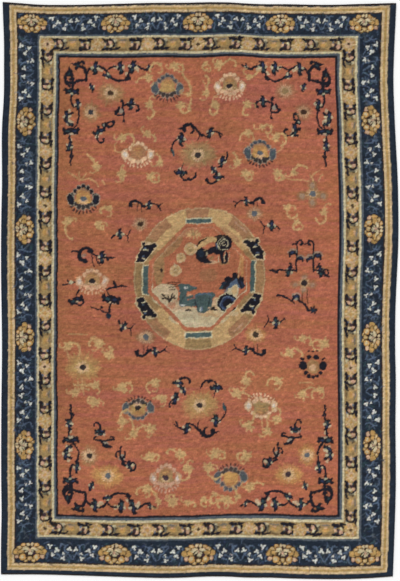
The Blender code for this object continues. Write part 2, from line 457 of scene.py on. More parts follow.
# %% A peony
# Columns: x, y, half width, half height, dye, dye of its light part. Each is drawn on both sides.
PEONY_PETALS = (
    (5.9, 0.1, 1.6, 1.5, GOLD, AMBER), (5.7, -2.3, 1.1, 0.9, PINK, SAND),
    (4.5, 2.1, 1.4, 0.9, GOLD, SAND), (2.8, 3.3, 1.2, 0.8, AMBER, SAND),
    (0.8, 3.6, 0.7, 0.75, SAND, CREAM), (3.8, 0.3, 1.5, 1.0, GOLD, AMBER),
    (1.7, -4.2, 1.0, 0.6, GOLD, SAND), (3.1, -2.5, 1.45, 1.55, AMBER, CREAM),
    (0.0, -3.0, 1.1, 0.95, GOLD, SAND), (1.7, 1.7, 1.4, 0.8, SAND, CREAM),
)


def peony(spot):
    """A dark ground, gold petals that leave dark gaps, the inner ones on top, and a fan of fine lines."""
    dab(spot, 0, -0.2, 6.4, 3.7, BROWN)
    for x, y, wide, high, colour, light in PEONY_PETALS:
        for side in (1, -1) if x else (1,):
            dab(spot, side * x, y, wide + 0.3, high + 0.3, BROWN)
            dab(spot, side * x, y, wide, high, colour)
            dab(spot, side * x - 0.1, y + 0.1, wide * 0.55, high * 0.55, light, strength=0.8)
    for side in (0, 180):
        for turn, colour in ((-4, CREAM), (-22, BROWN), (-40, CREAM), (-60, BROWN), (-78, PINK)):
            heading = turn if side == 0 else 180 - turn
            stem(spot, 0, 1.2, heading, 3.6 + turn / 40, 0, colour, (0.22, 0.3, 0.2))
    dab(spot, 0.2, -0.7, 1.0, 0.6, CREAM, strength=0.85)
    dab(spot, 1.9, -0.8, 0.7, 0.7, PLUM)
    dab(spot, -1.9, -0.9, 0.7, 0.5, BLACK)


# %% Ivy leaves and their vine
# Columns: x, y from the middle between two peonies, direction of the tip, size
IVY_LEAVES = (
    (1.5, 1.5, 100, 1.0), (4.0, -0.6, 60, 0.6), (4.4, -2.8, 250, 1.0), (7.4, 0.9, 80, 1.1),
    (9.2, -1.2, 60, 0.9), (10.3, 3.0, 140, 1.1),
)
# Columns: x, y, heading, length, turn at its start, turn at its end
IVY_VINES = (
    (0.3, -3.2, 60, 6.0, -4, 20), (2.2, 3.4, -10, 5.4, -32, -32), (5.6, -3.4, 100, 6.2, -22, -22),
    (6.6, -3.1, 10, 6.0, 22, 22), (11.6, -3.4, 120, 6.5, -26, -26), (8.3, 3.6, -5, 4.5, -20, -40),
    (2.6, -3.6, 20, 3.6, 40, 40), (9.6, 0.8, 200, 3.2, -40, -20), (5.4, 3.4, 150, 3.4, 30, 50),
    (12.2, 2.8, 250, 3.6, 20, 40),
)
# Columns: x, y, half width, half height, tilt
IVY_LOBES = (
    (0.0, 0.6, 0.62, 0.5, 90), (0.62, -0.3, 0.6, 0.42, -20), (-0.62, -0.3, 0.6, 0.42, 20),
    (0, 0, 0.5, 0.5, 0),
)


def ivy_leaf(spot):
    """Three pale lobes with a dark rim and a dark vein, and a slate stalk."""
    stem(spot, 0, -1.9, 90, 1.6, 0, STEEL, (0.2, 0.24, 0.2))
    dab(spot, 0, 0, 1.5, 1.3, INK, strength=0.7)
    for x, y, wide, high, tilt in IVY_LOBES:
        dab(spot, x, y, wide, high, IVORY, tilt, 0.95)
    stem(spot, 0, -0.6, 90, 0.9, 0, STEEL, (0.12, 0.16, 0.08), strength=0.7)


def ivy(spot, stretch):
    """One half of the ivy between two peonies: a waving vine, its curls, then the leaves."""
    wide = 1 / stretch
    for x, y, heading, length, first, last in IVY_VINES:
        first, last = first * wide, last * wide
        stem(spot, x * stretch, y, heading, length, first, STEEL, (0.26, 0.36, 0.2), last, 0.8)
    for x, y, heading, size in IVY_LEAVES:
        own = spot.out([(x * stretch, y)])[0]
        turn = math.degrees(math.atan2(spot.sin, spot.cos)) + (heading - 90) * spot.flip
        ivy_leaf(Spot(own[0], own[1], turn, size * spot.size, spot.flip))


# %% [markdown]
# The wide border is worked side by side. On each side the peonies stand at even steps, and the
# ivy is drawn twice between them, once as it is and once mirrored. On the long sides everything
# lies on its side, as if the weaver had turned the chart by a quarter.

# %% Work the wide border
# Columns: left, bottom, right and top of the four sides of the navy ground
BORDER_SIDES = (
    (-84.5, 119.6, 84.0, 127.6), (-84.5, -126.6, 84.0, -117.6), (-84.5, -117.6, -76.8, 119.6),
    (76.4, -117.6, 84.0, 119.6),
)
# Columns: first and last peony as x, y in cm, how many steps between them, turn and size of the
# motifs
WIDE_BORDER = (
    ((-78.2, 123.9), (77.3, 123.9), 4, 0.0, 0.90),
    ((-78.2, -122.0), (77.6, -122.0), 4, 0.0, 1.0),
    ((-80.7, 78.2), (-80.7, -72.0), 3, 90.0, 0.90),
    ((80.2, 78.8), (80.2, -71.8), 3, -90.0, 0.92),
)
# The step from peony to peony, in cm, that the ivy is drawn for
IVY_STEP = 38.7


def thicket():
    """Short random curls of blue and black wool in the navy ground, under the vines."""
    random = np.random.default_rng(17)
    for left, bottom, right, top in BORDER_SIDES:
        for _ in range(int((right - left) * (top - bottom) / 2.0)):
            x, y = random.uniform(left, right), random.uniform(bottom, top)
            colour = (INK, STEEL, TEAL, INDIGO, INK, SLATE)[random.integers(6)]
            turn, length = random.uniform(-45, 45), random.uniform(1.5, 3.6)
            heading = random.uniform(0, 360)
            stem(FLAT, x, y, heading, length, turn, colour, (0.12, 0.34, 0.12), strength=0.55)


def wide_border():
    """The ground's curls, then the ivy of every gap, then the peonies. Gives the count of peonies."""
    thicket()
    count = 0
    for first, last, steps, turn, size in WIDE_BORDER:
        first, last = np.array(first), np.array(last)
        step = (last - first) / steps
        ends = (0, steps) if turn == 0 else (-1, steps + 1)
        for n in range(*ends):
            middle = first + step * (n + 0.5)
            short = 1.0 if turn == 0 else (0.93 if n in (-1, steps) else 1.0)
            middle = middle + step * (0.045 * ((n == -1) - (n == steps)) if turn else 0.0)
            for flip in (1, -1):
                stretch = np.hypot(*step) / IVY_STEP / size * short
                ivy(Spot(middle[0], middle[1], turn, size, flip), stretch)
        for n in range(steps + 1):
            place = first + step * n
            peony(Spot(place[0], place[1], turn, size * (1.04 if n == 2 and turn == 0 else 1.0)))
            count += 1
    return count


print(wide_border(), "peonies")

# %% [markdown]
# ## Brackets and rosettes of the narrow border
# The narrow gold border alternates rosettes with pairs of dark scrolls that open towards them.

# %% Rosette and bracket
def rosette(spot, kind):
    """Even ones are broad yellow blocks with a small cross. Odd ones are ovals between two bars."""
    if kind % 2 == 0:
        dab(spot, 0, 0, 3.3, 3.0, GOLD, strength=0.8)
        dab(spot, 0, 0, 1.9, 1.8, SAND, strength=0.8)
        for turn in range(0, 360, 30):
            x, y = 2.5 * math.cos(math.radians(turn)), 2.3 * math.sin(math.radians(turn))
            dab(spot, x, y, 0.6, 0.36, (SAND, PINK, AMBER)[turn // 30 % 3], turn, 0.85)
        for turn in range(0, 360, 90):
            x, y = 1.1 * math.cos(math.radians(turn)), 1.1 * math.sin(math.radians(turn))
            dab(spot, x, y, 0.6, 0.4, (GOLD, PINK)[kind % 4 == 0], turn, 0.8)
        dab(spot, 0, 0, 0.75, 0.75, (AMBER, BROWN)[kind % 6 == 0], strength=0.9)
        return
    dab(spot, 0, 1.9, 2.1, 0.42, SLATE, strength=0.65)
    dab(spot, 0, -2.3, 2.3, 0.36, BROWN, strength=0.5)
    dab(spot, 0, -0.1, 2.0, 1.4, GOLD, strength=0.85)
    dab(spot, 0, -0.1, 1.3, 0.95, AMBER, strength=0.9)
    dab(spot, 0, 0.9, 1.0, 0.4, PINK, strength=0.7)


# Columns: x, y, half width, half height, tilt, dye, strength
BRACKET_DABS = (
    (-0.2, 0.0, 2.9, 2.8, 0, OLIVE, 0.55), (-2.5, 2.0, 1.2, 0.85, -12, INK, 1.0),
    (-1.0, 1.8, 0.9, 0.95, 0, BROWN, 1.0), (-2.5, -2.1, 1.2, 0.8, 14, INK, 1.0),
    (-0.9, -1.9, 1.05, 0.85, 0, INK, 1.0), (-0.7, 0.3, 0.75, 0.95, 0, PLUM, 0.95),
    (0.5, 1.0, 0.7, 0.9, 0, PINK, 0.95), (0.7, -0.7, 0.6, 0.8, 0, CREAM, 0.9),
    (-2.0, 0.1, 0.6, 0.9, 0, PEACH, 0.8), (-1.8, 1.1, 0.5, 0.4, 0, TEAL, 0.8),
    (3.4, -2.1, 1.1, 0.65, 10, INK, 1.0), (2.7, 1.8, 0.9, 0.7, 0, CREAM, 0.75),
    (-1.9, -0.9, 0.45, 0.5, 0, STEEL, 0.9), (2.9, 0.1, 0.6, 1.5, 0, TEAL, 0.6),
    (3.6, 0.9, 0.5, 0.6, 0, BROWN, 0.7), (1.5, 2.1, 0.6, 0.4, 0, STEEL, 0.8),
)


def bracket(spot):
    """A dark scroll that opens to the left, with leaves in its hollow and a tail to the right."""
    for x, y, wide, high, tilt, colour, strength in BRACKET_DABS:
        dab(spot, x, y, wide, high, colour, tilt, strength)
    stem(spot, -1.2, 2.4, 12, 7.4, -16, INK, (0.36, 0.42, 0.5), -34)
    stem(spot, 0.8, -2.6, 8, 4.2, 4, INK, (0.55, 0.42, 0.3))


# %% Work the narrow border
# Columns: first and last rosette, steps, turn
NARROW_BORDER = (
    ((-71.2, 114.1), (70.4, 114.1), 12, 0.0),
    ((-71.2, -110.75), (70.4, -110.75), 12, 0.0),
    ((-71.2, 114.1), (-71.2, -110.75), 18, -90.0),
    ((70.4, 114.1), (70.4, -110.75), 18, -90.0),
)
# The step from rosette to rosette, in cm, that the bracket is drawn for
BRACKET_STEP = 11.8


def narrow_border():
    """A scroll in each step between two rosettes. It always turns its back to the small oval."""
    for first, last, steps, turn in NARROW_BORDER:
        first, last = np.array(first), np.array(last)
        step = (last - first) / steps
        for n in range(steps):
            place = first + step * (n + (0.46, 0.54)[n % 2])
            size = min(1.0, np.hypot(*step) / BRACKET_STEP) * 1.02
            facing, flip = (turn, 1) if n % 2 == 0 else (turn + 180, -1)
            bracket(Spot(place[0], place[1], facing, size, flip))
        for n in range(steps + 1):
            place = first + step * n
            rosette(Spot(place[0], place[1], turn), n)
    return "brackets and rosettes worked"


print(narrow_border())

# %% [markdown]
# ## Leaves and scrolls of the field
# The coral field carries dark blue scrolls in its corners and round its flowers, and pale yellow
# ones between them. They all come from five leaves: one like a bat with two hooked wings, one that
# crosses its stem, a long drop, a drooping dome, and a pale one with seven soft lobes.

# %% Five leaves
# Columns: x, y, half width, half height, tilt. Rows with an x are drawn on both sides.
BAT_LOBES = (
    (1.55, -0.1, 1.55, 1.0, -10), (3.0, 0.6, 0.7, 0.9, 20), (2.6, -1.0, 0.7, 0.6, 0),
    (0.8, 0.7, 0.75, 0.65, 40), (0.0, 0.4, 1.0, 1.1, 0), (1.3, -1.0, 0.6, 0.45, 0),
)
# Columns: x, y, half width, half height, tilt
CROSS_LOBES = (
    (0.1, 1.4, 0.85, 1.35, -6), (0.75, 2.3, 0.6, 0.5, 30), (0.95, 0.75, 0.7, 0.45, 20),
    (0.0, 0.0, 0.75, 0.9, 0), (0.1, -1.5, 0.85, 1.3, 6), (-0.6, -2.3, 0.6, 0.5, 30),
    (-0.9, -0.7, 0.7, 0.45, 20),
)


def bat_leaf(spot):
    """Two lobed wings that hook up at their ends, a short point between them, blue and teal inside."""
    dab(spot, 0.4, -0.8, 2.6, 1.0, MIST, strength=0.4)
    dab(spot, 0, -0.9, 1.3, 0.6, CREAM, strength=0.5)
    for x, y, wide, high, tilt in BAT_LOBES:
        for side in (1, -1) if x else (1,):
            dab(spot, side * x, y, wide, high, INK, side * tilt)
    dab(spot, 1.3, 0.0, 0.85, 0.45, INDIGO, -10, 0.8)
    dab(spot, -1.4, 0.0, 0.85, 0.45, TEAL, 10, 0.8)


def cross_leaf(spot):
    """One lobed end up and one down, light wool in the bends, blue in the waist."""
    dab(spot, 0.2, 0, 1.7, 2.0, MIST, -20, 0.4)
    dab(spot, 1.3, 0.1, 0.85, 0.7, CREAM, -25, 0.75)
    dab(spot, -1.1, 0.2, 0.7, 0.6, CREAM, 0, 0.6)
    for x, y, wide, high, tilt in CROSS_LOBES:
        dab(spot, x, y, wide, high, INK, tilt)
    dab(spot, 0.1, 0.8, 0.5, 0.85, INDIGO, 0, 0.8)
    dab(spot, 0.1, -1.0, 0.5, 0.7, TEAL, 0, 0.75)


def drop_leaf(spot, length=6.0):
    """A long drop that swells from its tip to a curled bulb."""
    stroke(spot, curl(0, length, -90, length, 4), (0.1, 0.8, 1.35, 1.2), INK)
    dab(spot, 0.4, 0.8, 0.62, 0.55, RUSSET, 0, 0.8)
    dab(spot, -0.3, 2.4, 0.45, 0.8, TEAL, 0, 0.5)


def dome_leaf(spot):
    """A drooping leaf: a round back, two tips that hang, blue inside and a pale halo."""
    dab(spot, 0, 0.7, 2.1, 1.4, MIST, strength=0.55)
    dab(spot, 0, 0.3, 1.7, 1.05, INK)
    for side in (1, -1):
        dab(spot, side * 1.45, -0.7, 0.5, 0.95, INK, side * 16)
    dab(spot, 0, 0.4, 0.95, 0.5, INDIGO, strength=0.8)


def pale_leaf(spot, random):
    """A soft leaf whose seven lobes differ a little each time, with a darker vein or two."""
    for turn in range(0, 360, 51):
        turn = turn + random.uniform(-14, 14)
        far = random.uniform(1.0, 1.75)
        x, y = far * math.cos(math.radians(turn)), far * math.sin(math.radians(turn))
        wide, high = random.uniform(0.6, 1.05), random.uniform(0.32, 0.6)
        tilt, strength = turn + random.uniform(-35, 35), random.uniform(0.65, 0.95)
        dab(spot, x, y, wide * 1.15, high * 1.2, STRAW, tilt, strength)
    dab(spot, 0, 0, 1.4, 1.1, STRAW, random.uniform(0, 180), 0.85)
    dab(spot, 0.3, 0.4, 0.9, 0.22, KHAKI, random.uniform(0, 180), 0.5)
    dab(spot, -0.4, -0.3, 0.8, 0.2, KHAKI, random.uniform(0, 180), 0.4)


def on(spot, x, y, turn=0.0, size=1.0, flip=1):
    """A spot within another motif's plan."""
    place = spot.out([(x, y)])[0]
    facing = math.degrees(math.atan2(spot.sin, spot.cos))
    return Spot(place[0], place[1], facing + turn * spot.flip, size * spot.size, flip * spot.flip)


# %% [markdown]
# ### Corner scrolls
# One corner scroll is drawn in the plan of the top left corner of the field, with x running in
# along the top and y up. The other three corners mirror it.

# %% A corner scroll
# Columns: start x, y, heading, length, first turn, last turn, half widths
CORNER_STEMS = (
    (12.2, -10.3, 188, 4.2, 0, 8, (0.6, 0.7, 0.6)), (8.2, -10.9, 216, 5.6, -10, -16, (0.6, 0.75, 0.8)),
    (4.4, -13.3, 160, 8.6, -22, -8, (0.7, 0.8, 0.9)), (12.2, -10.6, 84, 10.2, -2, 34, (0.6, 0.85, 0.85)),
    (13.0, -6.8, 70, 5.2, -18, -24, (0.5, 0.6, 0.6)),
    (17.4, -3.8, 5, 8.2, -14, -4, (0.45, 0.6, 0.55)), (23.6, -8.6, -50, 10.0, 12, 2, (0.5, 0.6, 0.5)),
    (22.8, -5.4, 45, 7.4, -14, -12, (0.45, 0.5, 0.6)), (32.0, -9.2, 88, 4.8, -10, 10, (0.6, 0.5, 0.6)),
    (34.6, -3.4, -10, 7.4, -10, 10, (0.55, 0.5, 0.4)), (39.6, -5.6, 10, 4.6, 8, 0, (0.4, 0.4, 0.5)),
    (5.9, -12.9, -95, 5.0, 3, 0, (0.85, 0.6, 0.5)), (5.5, -17.0, -90, 6.2, 0, 12, (0.45, 0.5, 0.5)),
    (8.6, -23.6, -70, 9.6, -4, -10, (0.5, 0.45, 0.5)), (5.2, -36.0, -96, 6.4, 6, 2, (0.5, 0.65, 0.45)),
    (5.0, -42.4, -34, 4.4, -26, -16, (0.6, 0.55, 0.45)), (6.9, -45.6, -128, 4.8, 4, 24, (0.4, 0.45, 0.5)),
)
# Columns: kind, x, y, turn, size
CORNER_LEAVES = (
    ("drop", 4.4, -10.2, 0, 1.0), ("drop", 10.9, -3.6, 84, 0.95), ("cross", 16.6, -4.9, 0, 1.12),
    ("cross", 22.4, -8.6, 80, 0.85), ("cross", 28.4, -4.6, 14, 1.15), ("cross", 34.0, -4.4, -8, 1.2),
    ("bat", 5.6, -15.6, 0, 1.0), ("cross", 8.5, -21.8, 12, 1.0), ("cross", 3.6, -27.6, 15, 1.05),
    ("bat", 5.8, -34.2, 0, 1.1), ("cross", 14.9, -13.6, 30, 0.8), ("cross", 41.8, -4.6, 0, 0.55),
    ("cross", 4.6, -30.4, 62, 0.9), ("cross", 4.9, -41.2, -14, 0.95),
)
# Columns: x, y, half width, half height
CORNER_LIGHTS = (
    (19.4, -5.8, 1.1, 0.8), (25.8, -4.2, 0.8, 0.9), (36.6, -5.8, 0.8, 1.1), (31.4, -7.2, 0.7, 0.9),
    (4.9, -24.6, 0.7, 0.8), (6.0, -30.0, 0.8, 1.0), (5.8, -38.2, 0.7, 1.2), (12.6, -8.6, 0.6, 0.7),
)
LEAF_KINDS = {"bat": bat_leaf, "cross": cross_leaf, "drop": drop_leaf}


def corner_scroll(spot):
    """Light wool first, then the stems, then the leaves over them."""
    for x, y, wide, high in CORNER_LIGHTS:
        dab(spot, x, y, wide, high, CREAM, strength=0.6)
    for x, y, heading, length, first, last, widths in CORNER_STEMS:
        stem(spot, x, y, heading, length, first, INK, widths, last)
    for kind, x, y, turn, size in CORNER_LEAVES:
        LEAF_KINDS[kind](on(spot, x, y, turn, size))
    dab(spot, 32.0, -9.3, 1.25, 0.85, INK)
    dab(spot, 5.6, -26.0, 1.2, 0.7, INK, 30)


# Columns: the corner's x and y, turn, mirror, size
CORNERS = (
    (-65.4, 107.9, 0, 1, 1.0), (64.2, 107.9, 0, -1, 1.0), (-65.3, -104.3, 180, -1, 1.02),
    (64.2, -104.3, 180, 1, 1.02),
)
for x, y, turn, flip, size in CORNERS:
    corner_scroll(Spot(x, y, turn, size, flip))
print("four corner scrolls")

# %% [markdown]
# ### Sprigs
# Small dark sprigs fill the field round the roundel and near the corners. There are six kinds,
# and each is turned and mirrored so that the two halves of the rug answer each other.

# %% Six kinds of sprig
def hook_sprig(spot):
    """A stem that loops over like a cloud head, a leaf across it and a tail."""
    dab(spot, -4.5, -1.0, 1.0, 0.95, INK)
    dab(spot, -2.6, 0.4, 0.8, 0.5, MIST, 20, 0.6)
    stem(spot, -4.9, -1.2, 104, 8.8, -40, INK, (0.8, 0.65, 0.6), 8)
    stem(spot, 0.2, -1.6, -15, 3.6, 18, INK, (0.6, 0.5, 0.45))
    cross_leaf(on(spot, 3.6, -0.9, 0, 0.85))
    stem(spot, 4.4, -0.7, 12, 6.2, -14, INK, (0.4, 0.35, 0.3))
    stem(spot, 8.0, -1.9, 30, 2.4, 0, INK, (0.4, 0.3, 0.2))
    stem(spot, -1.6, 0.0, -88, 3.6, 0, INK, (0.2, 0.28, 0.2), strength=0.8)
    stem(spot, 0.2, -1.0, -90, 3.0, 0, INK, (0.2, 0.28, 0.2), strength=0.8)


def cross_sprig(spot):
    """A leaf across the middle and a hooked arm on each side."""
    stem(spot, 0, 0, 172, 4.2, 16, INK, (0.35, 0.35, 0.4))
    stem(spot, 0, 0, -8, 3.8, 0, INK, (0.35, 0.35, 0.3))
    stem(spot, 3.6, -0.6, 55, 3.4, 0, INK, (0.35, 0.3, 0.2))
    stem(spot, 3.6, -0.6, -95, 3.4, 8, INK, (0.35, 0.3, 0.2))
    cross_leaf(on(spot, 0.0, 0.0, 8, 1.0))


def bat_sprig(spot):
    """A hook over a lobed leaf, a bar with curled ends, and a leaf with a pale heart below it."""
    stem(spot, 0.2, 1.0, 84, 6.4, 0, INK, (0.6, 0.42, 0.4), 66)
    dab(spot, 0, -0.2, 2.6, 1.6, MIST, strength=0.55)
    bat_leaf(on(spot, 0, 0.4, 0, 0.72))
    dab(spot, 0.3, -0.9, 1.3, 0.9, INK)
    dab(spot, 0.3, -1.1, 0.8, 0.45, TEAL, strength=0.8)
    dab(spot, 1.9, -1.3, 0.6, 0.55, CREAM, strength=0.7)
    stem(spot, -2.4, -3.3, -12, 9.0, 3, INK, (0.45, 0.55, 0.45))
    stem(spot, 6.4, -3.2, 70, 2.6, 60, INK, (0.5, 0.5, 0.35))
    stem(spot, -2.4, -3.3, 120, 1.9, -70, INK, (0.45, 0.4, 0.3))
    dab(spot, 2.8, -5.2, 1.6, 1.0, MIST, -20, 0.8)
    stem(spot, 0.8, -4.2, -60, 5.4, 10, INK, (0.5, 0.85, 0.5), 16)


def vine_sprig(spot):
    """A stem with a hook at its head, a leaf with a pale heart, and a leaf at its foot in a curl."""
    stem(spot, -1.5, 5.4, -88, 3.6, -6, INK, (0.55, 0.4, 0.4))
    stem(spot, -1.6, 3.0, 160, 4.2, 24, INK, (0.4, 0.42, 0.45), 56)
    dab(spot, -1.1, 0.4, 1.5, 1.5, MIST, strength=0.8)
    stem(spot, 0.2, 3.0, -66, 3.4, -24, INK, (0.4, 0.5, 0.4))
    stem(spot, -1.8, 2.6, -104, 5.4, 16, INK, (0.45, 0.65, 0.55))
    stem(spot, -0.9, -2.2, -40, 3.2, 10, INK, (0.65, 0.55, 0.4))
    cross_leaf(on(spot, 2.4, -3.6, 20, 0.95))
    stem(spot, 3.2, -6.0, 14, 7.6, 16, INK, (0.5, 0.42, 0.45), 48)
    dab(spot, 4.1, -3.2, 0.65, 0.65, CREAM, strength=0.6)


def twin_sprig(spot):
    """A leaf across a bar, with a curl at one end, a second leaf below it and a hanging bud."""
    cross_leaf(on(spot, 3.4, 2.4, 0, 1.05))
    stem(spot, 4.2, 2.4, 14, 5.6, -16, INK, (0.45, 0.45, 0.7), -46)
    stem(spot, 3.0, 2.4, 176, 4.4, 12, INK, (0.4, 0.5, 0.45))
    stem(spot, -0.8, 3.8, -80, 6.0, 0, INK, (0.6, 0.45, 0.4))
    dab(spot, -0.9, 4.0, 0.8, 0.65, INK)
    dab(spot, -1.4, -0.6, 1.1, 1.2, MIST, strength=0.8)
    stem(spot, -2.2, 1.0, -110, 3.6, -6, INK, (0.5, 0.75, 0.5))
    stem(spot, 0.2, -1.8, 220, 5.6, -10, INK, (0.45, 0.55, 0.45), -36)
    stem(spot, -0.2, -2.4, -85, 2.6, 0, INK, (0.3, 0.3, 0.3))
    dab(spot, 0.0, -5.4, 0.8, 0.7, INK)


def curl_sprig(spot):
    """A bat leaf with a bunch of curls above it, light wool below and a loop at its foot."""
    bat_leaf(on(spot, 0, 0, 25, 0.9))
    dab(spot, 2.4, 3.2, 1.5, 1.2, INK)
    dab(spot, 2.2, 3.3, 0.6, 0.5, MIST)
    dab(spot, 3.8, 2.2, 0.8, 0.7, INK)
    stem(spot, 3.6, 3.8, 50, 4.2, -20, INK, (0.45, 0.4, 0.35), -76)
    stem(spot, 4.0, 2.0, 14, 5.4, -10, INK, (0.45, 0.4, 0.6), 84)
    dab(spot, -0.6, 2.0, 0.9, 0.8, INK)
    dab(spot, -1.2, -2.4, 1.1, 0.75, CREAM, 0, 0.9)
    stem(spot, -0.6, -1.2, -110, 7.8, 6, INK, (0.5, 0.5, 0.5), 58)


# Columns: kind, x, y, turn, mirror, size
SPRIGS = (
    (hook_sprig, -27.0, 40.8, 0, 1, 1.0), (hook_sprig, 25.0, 41.5, 0, -1, 0.95),
    (hook_sprig, -24.0, -29.2, 180, -1, 1.0), (hook_sprig, 25.6, -29.4, 180, 1, 1.0),
    (cross_sprig, -37.0, 26.2, 0, 1, 1.0), (cross_sprig, 33.2, 29.8, 0, -1, 1.0),
    (cross_sprig, -35.0, -16.4, 150, -1, 0.95), (cross_sprig, 35.8, -15.2, 180, 1, 1.0),
    (twin_sprig, -35.2, 84.0, 0, 1, 1.0), (curl_sprig, -46.4, 73.8, 0, 1, 1.0),
    (twin_sprig, 33.6, 85.4, 0, -1, 1.0), (curl_sprig, 44.6, 74.6, -60, -1, 1.0),
    (bat_sprig, -46.0, -65.6, 0, 1, 1.0), (vine_sprig, -34.6, -77.4, 0, 1, 1.0),
    (bat_sprig, 44.6, -64.6, 0, -1, 1.0), (vine_sprig, 34.8, -76.6, 0, -1, 1.0),
)
for kind, x, y, turn, flip, size in SPRIGS:
    kind(Spot(x, y, turn, size, flip))
print(len(SPRIGS), "sprigs")

# %% [markdown]
# ### Scrolls round the flowers on the centre line
# Two gold flowers stand above and below the roundel, each in a ring of dark scrolls. The lower set
# is the upper one turned by half a turn. Two more sets stand left and right of the roundel.

# %% Scroll sets
def middle_scrolls(spot):
    """Four curled stems with leaves, in a ring that is open at its lower left."""
    stem(spot, -6.2, 11.4, 110, 9.8, -28, INK, (0.95, 0.75, 0.5), -26)
    stem(spot, -9.2, 12.2, 0, 2.6, 10, INK, (0.3, 0.45, 0.4))
    stem(spot, -3.6, 14.4, -25, 10.4, -10, INK, (0.7, 0.6, 0.4), 12)
    stem(spot, -5.2, 7.0, 170, 2.6, 0, INK, (0.4, 0.4, 0.4))
    stem(spot, 0.2, 11.0, -60, 4.6, -16, INK, (0.35, 0.3, 0.2))
    cross_leaf(on(spot, 5.6, 10.2, -10, 1.05))
    stem(spot, 6.4, 10.4, 8, 5.6, -10, INK, (0.4, 0.4, 0.3))
    stem(spot, 9.8, 9.4, -70, 2.4, 0, INK, (0.35, 0.5, 0.3))
    cross_leaf(on(spot, -7.6, 7.2, -5, 1.15, -1))
    stem(spot, -8.0, 7.3, 172, 8.6, 20, INK, (0.4, 0.35, 0.35), 4)
    dab(spot, -11.6, 0.9, 0.55, 1.8, TEAL, 8)
    cross_leaf(on(spot, -8.0, -8.2, 95, 1.1))
    stem(spot, -7.6, -7.8, 95, 4.4, -8, INK, (0.4, 0.35, 0.2))
    stem(spot, -8.2, -9.0, -88, 10.6, 22, INK, (0.45, 0.5, 0.4), 8)
    dab(spot, -4.6, -11.2, 0.85, 0.85, INK)
    stem(spot, 4.0, -11.4, -85, 9.6, 27, INK, (0.75, 0.5, 0.4), 12)
    cross_leaf(on(spot, 9.6, -10.8, 95, 0.9))
    cross_leaf(on(spot, 7.2, -7.6, 40, 0.9))
    cross_leaf(on(spot, 10.9, -3.6, -10, 1.05))
    stem(spot, 13.6, 0.4, -82, 6.6, -14, INK, (0.45, 0.4, 0.4))


def left_scrolls(spot):
    """A cloud head over the flower, a low arm on either side, and a hanging leaf below each arm."""
    stem(spot, -3.5, 8.6, 172, 12.4, -20, INK, (1.25, 0.75, 0.75), -17)
    dab(spot, -3.8, 11.2, 1.2, 0.8, MIST, 20, 0.5)
    stem(spot, -6.2, 12.9, 172, 3.4, -8, INK, (0.6, 0.5, 0.4), 30)
    stem(spot, -2.0, 13.2, -32, 8.4, 0, INK, (0.5, 0.45, 0.35), 14)
    stem(spot, -0.4, 11.8, -88, 6.0, 4, INK, (0.25, 0.3, 0.2))
    stem(spot, 1.4, 11.0, -78, 5.0, 6, INK, (0.25, 0.3, 0.2))
    cross_leaf(on(spot, 4.2, 10.6, 0, 1.1))
    stem(spot, 4.8, 10.4, 0, 5.6, 0, INK, (0.4, 0.5, 0.2))
    dab(spot, 7.2, 9.6, 0.7, 0.6, INK)
    stem(spot, -13.2, -2.6, 18, 4.6, -4, INK, (0.5, 0.4, 0.4))
    stem(spot, -11.2, -0.6, -50, 7.0, 26, INK, (0.4, 0.4, 0.35), -6)
    dab(spot, -9.6, -1.6, 0.95, 0.75, CREAM, strength=0.8)
    stem(spot, -5.6, -4.0, 245, 3.6, 0, INK, (0.3, 0.36, 0.4))
    bat_leaf(on(spot, -7.4, -9.4, 20, 1.0))
    stem(spot, -7.4, -10.8, -75, 7.6, 34, INK, (0.4, 0.4, 0.5))
    stem(spot, 15.6, -2.8, 175, 9.2, 3, INK, (0.5, 0.45, 0.35))
    stem(spot, 10.8, -2.8, 82, 3.0, 24, INK, (0.75, 0.65, 0.4))
    stem(spot, 6.4, -3.8, -65, 5.4, 0, INK, (0.3, 0.36, 0.5))
    bat_leaf(on(spot, 8.8, -8.8, -8, 1.25))
    stem(spot, 9.0, -9.8, -115, 5.0, 6, INK, (0.5, 0.4, 0.5))
    stem(spot, 7.4, -15.0, 175, 8.2, -8, INK, (0.4, 0.36, 0.4), 8)
    dab(spot, 7.6, -16.6, 1.15, 1.3, NAVY)
    dab(spot, 4.4, -12.6, 0.7, 0.8, INK)


def around(turns, wide, high):
    """Angles with the places they point to on an ellipse."""
    angles = [math.radians(turn) for turn in turns]
    return [(turn, wide * math.cos(a), high * math.sin(a)) for turn, a in zip(turns, angles)]


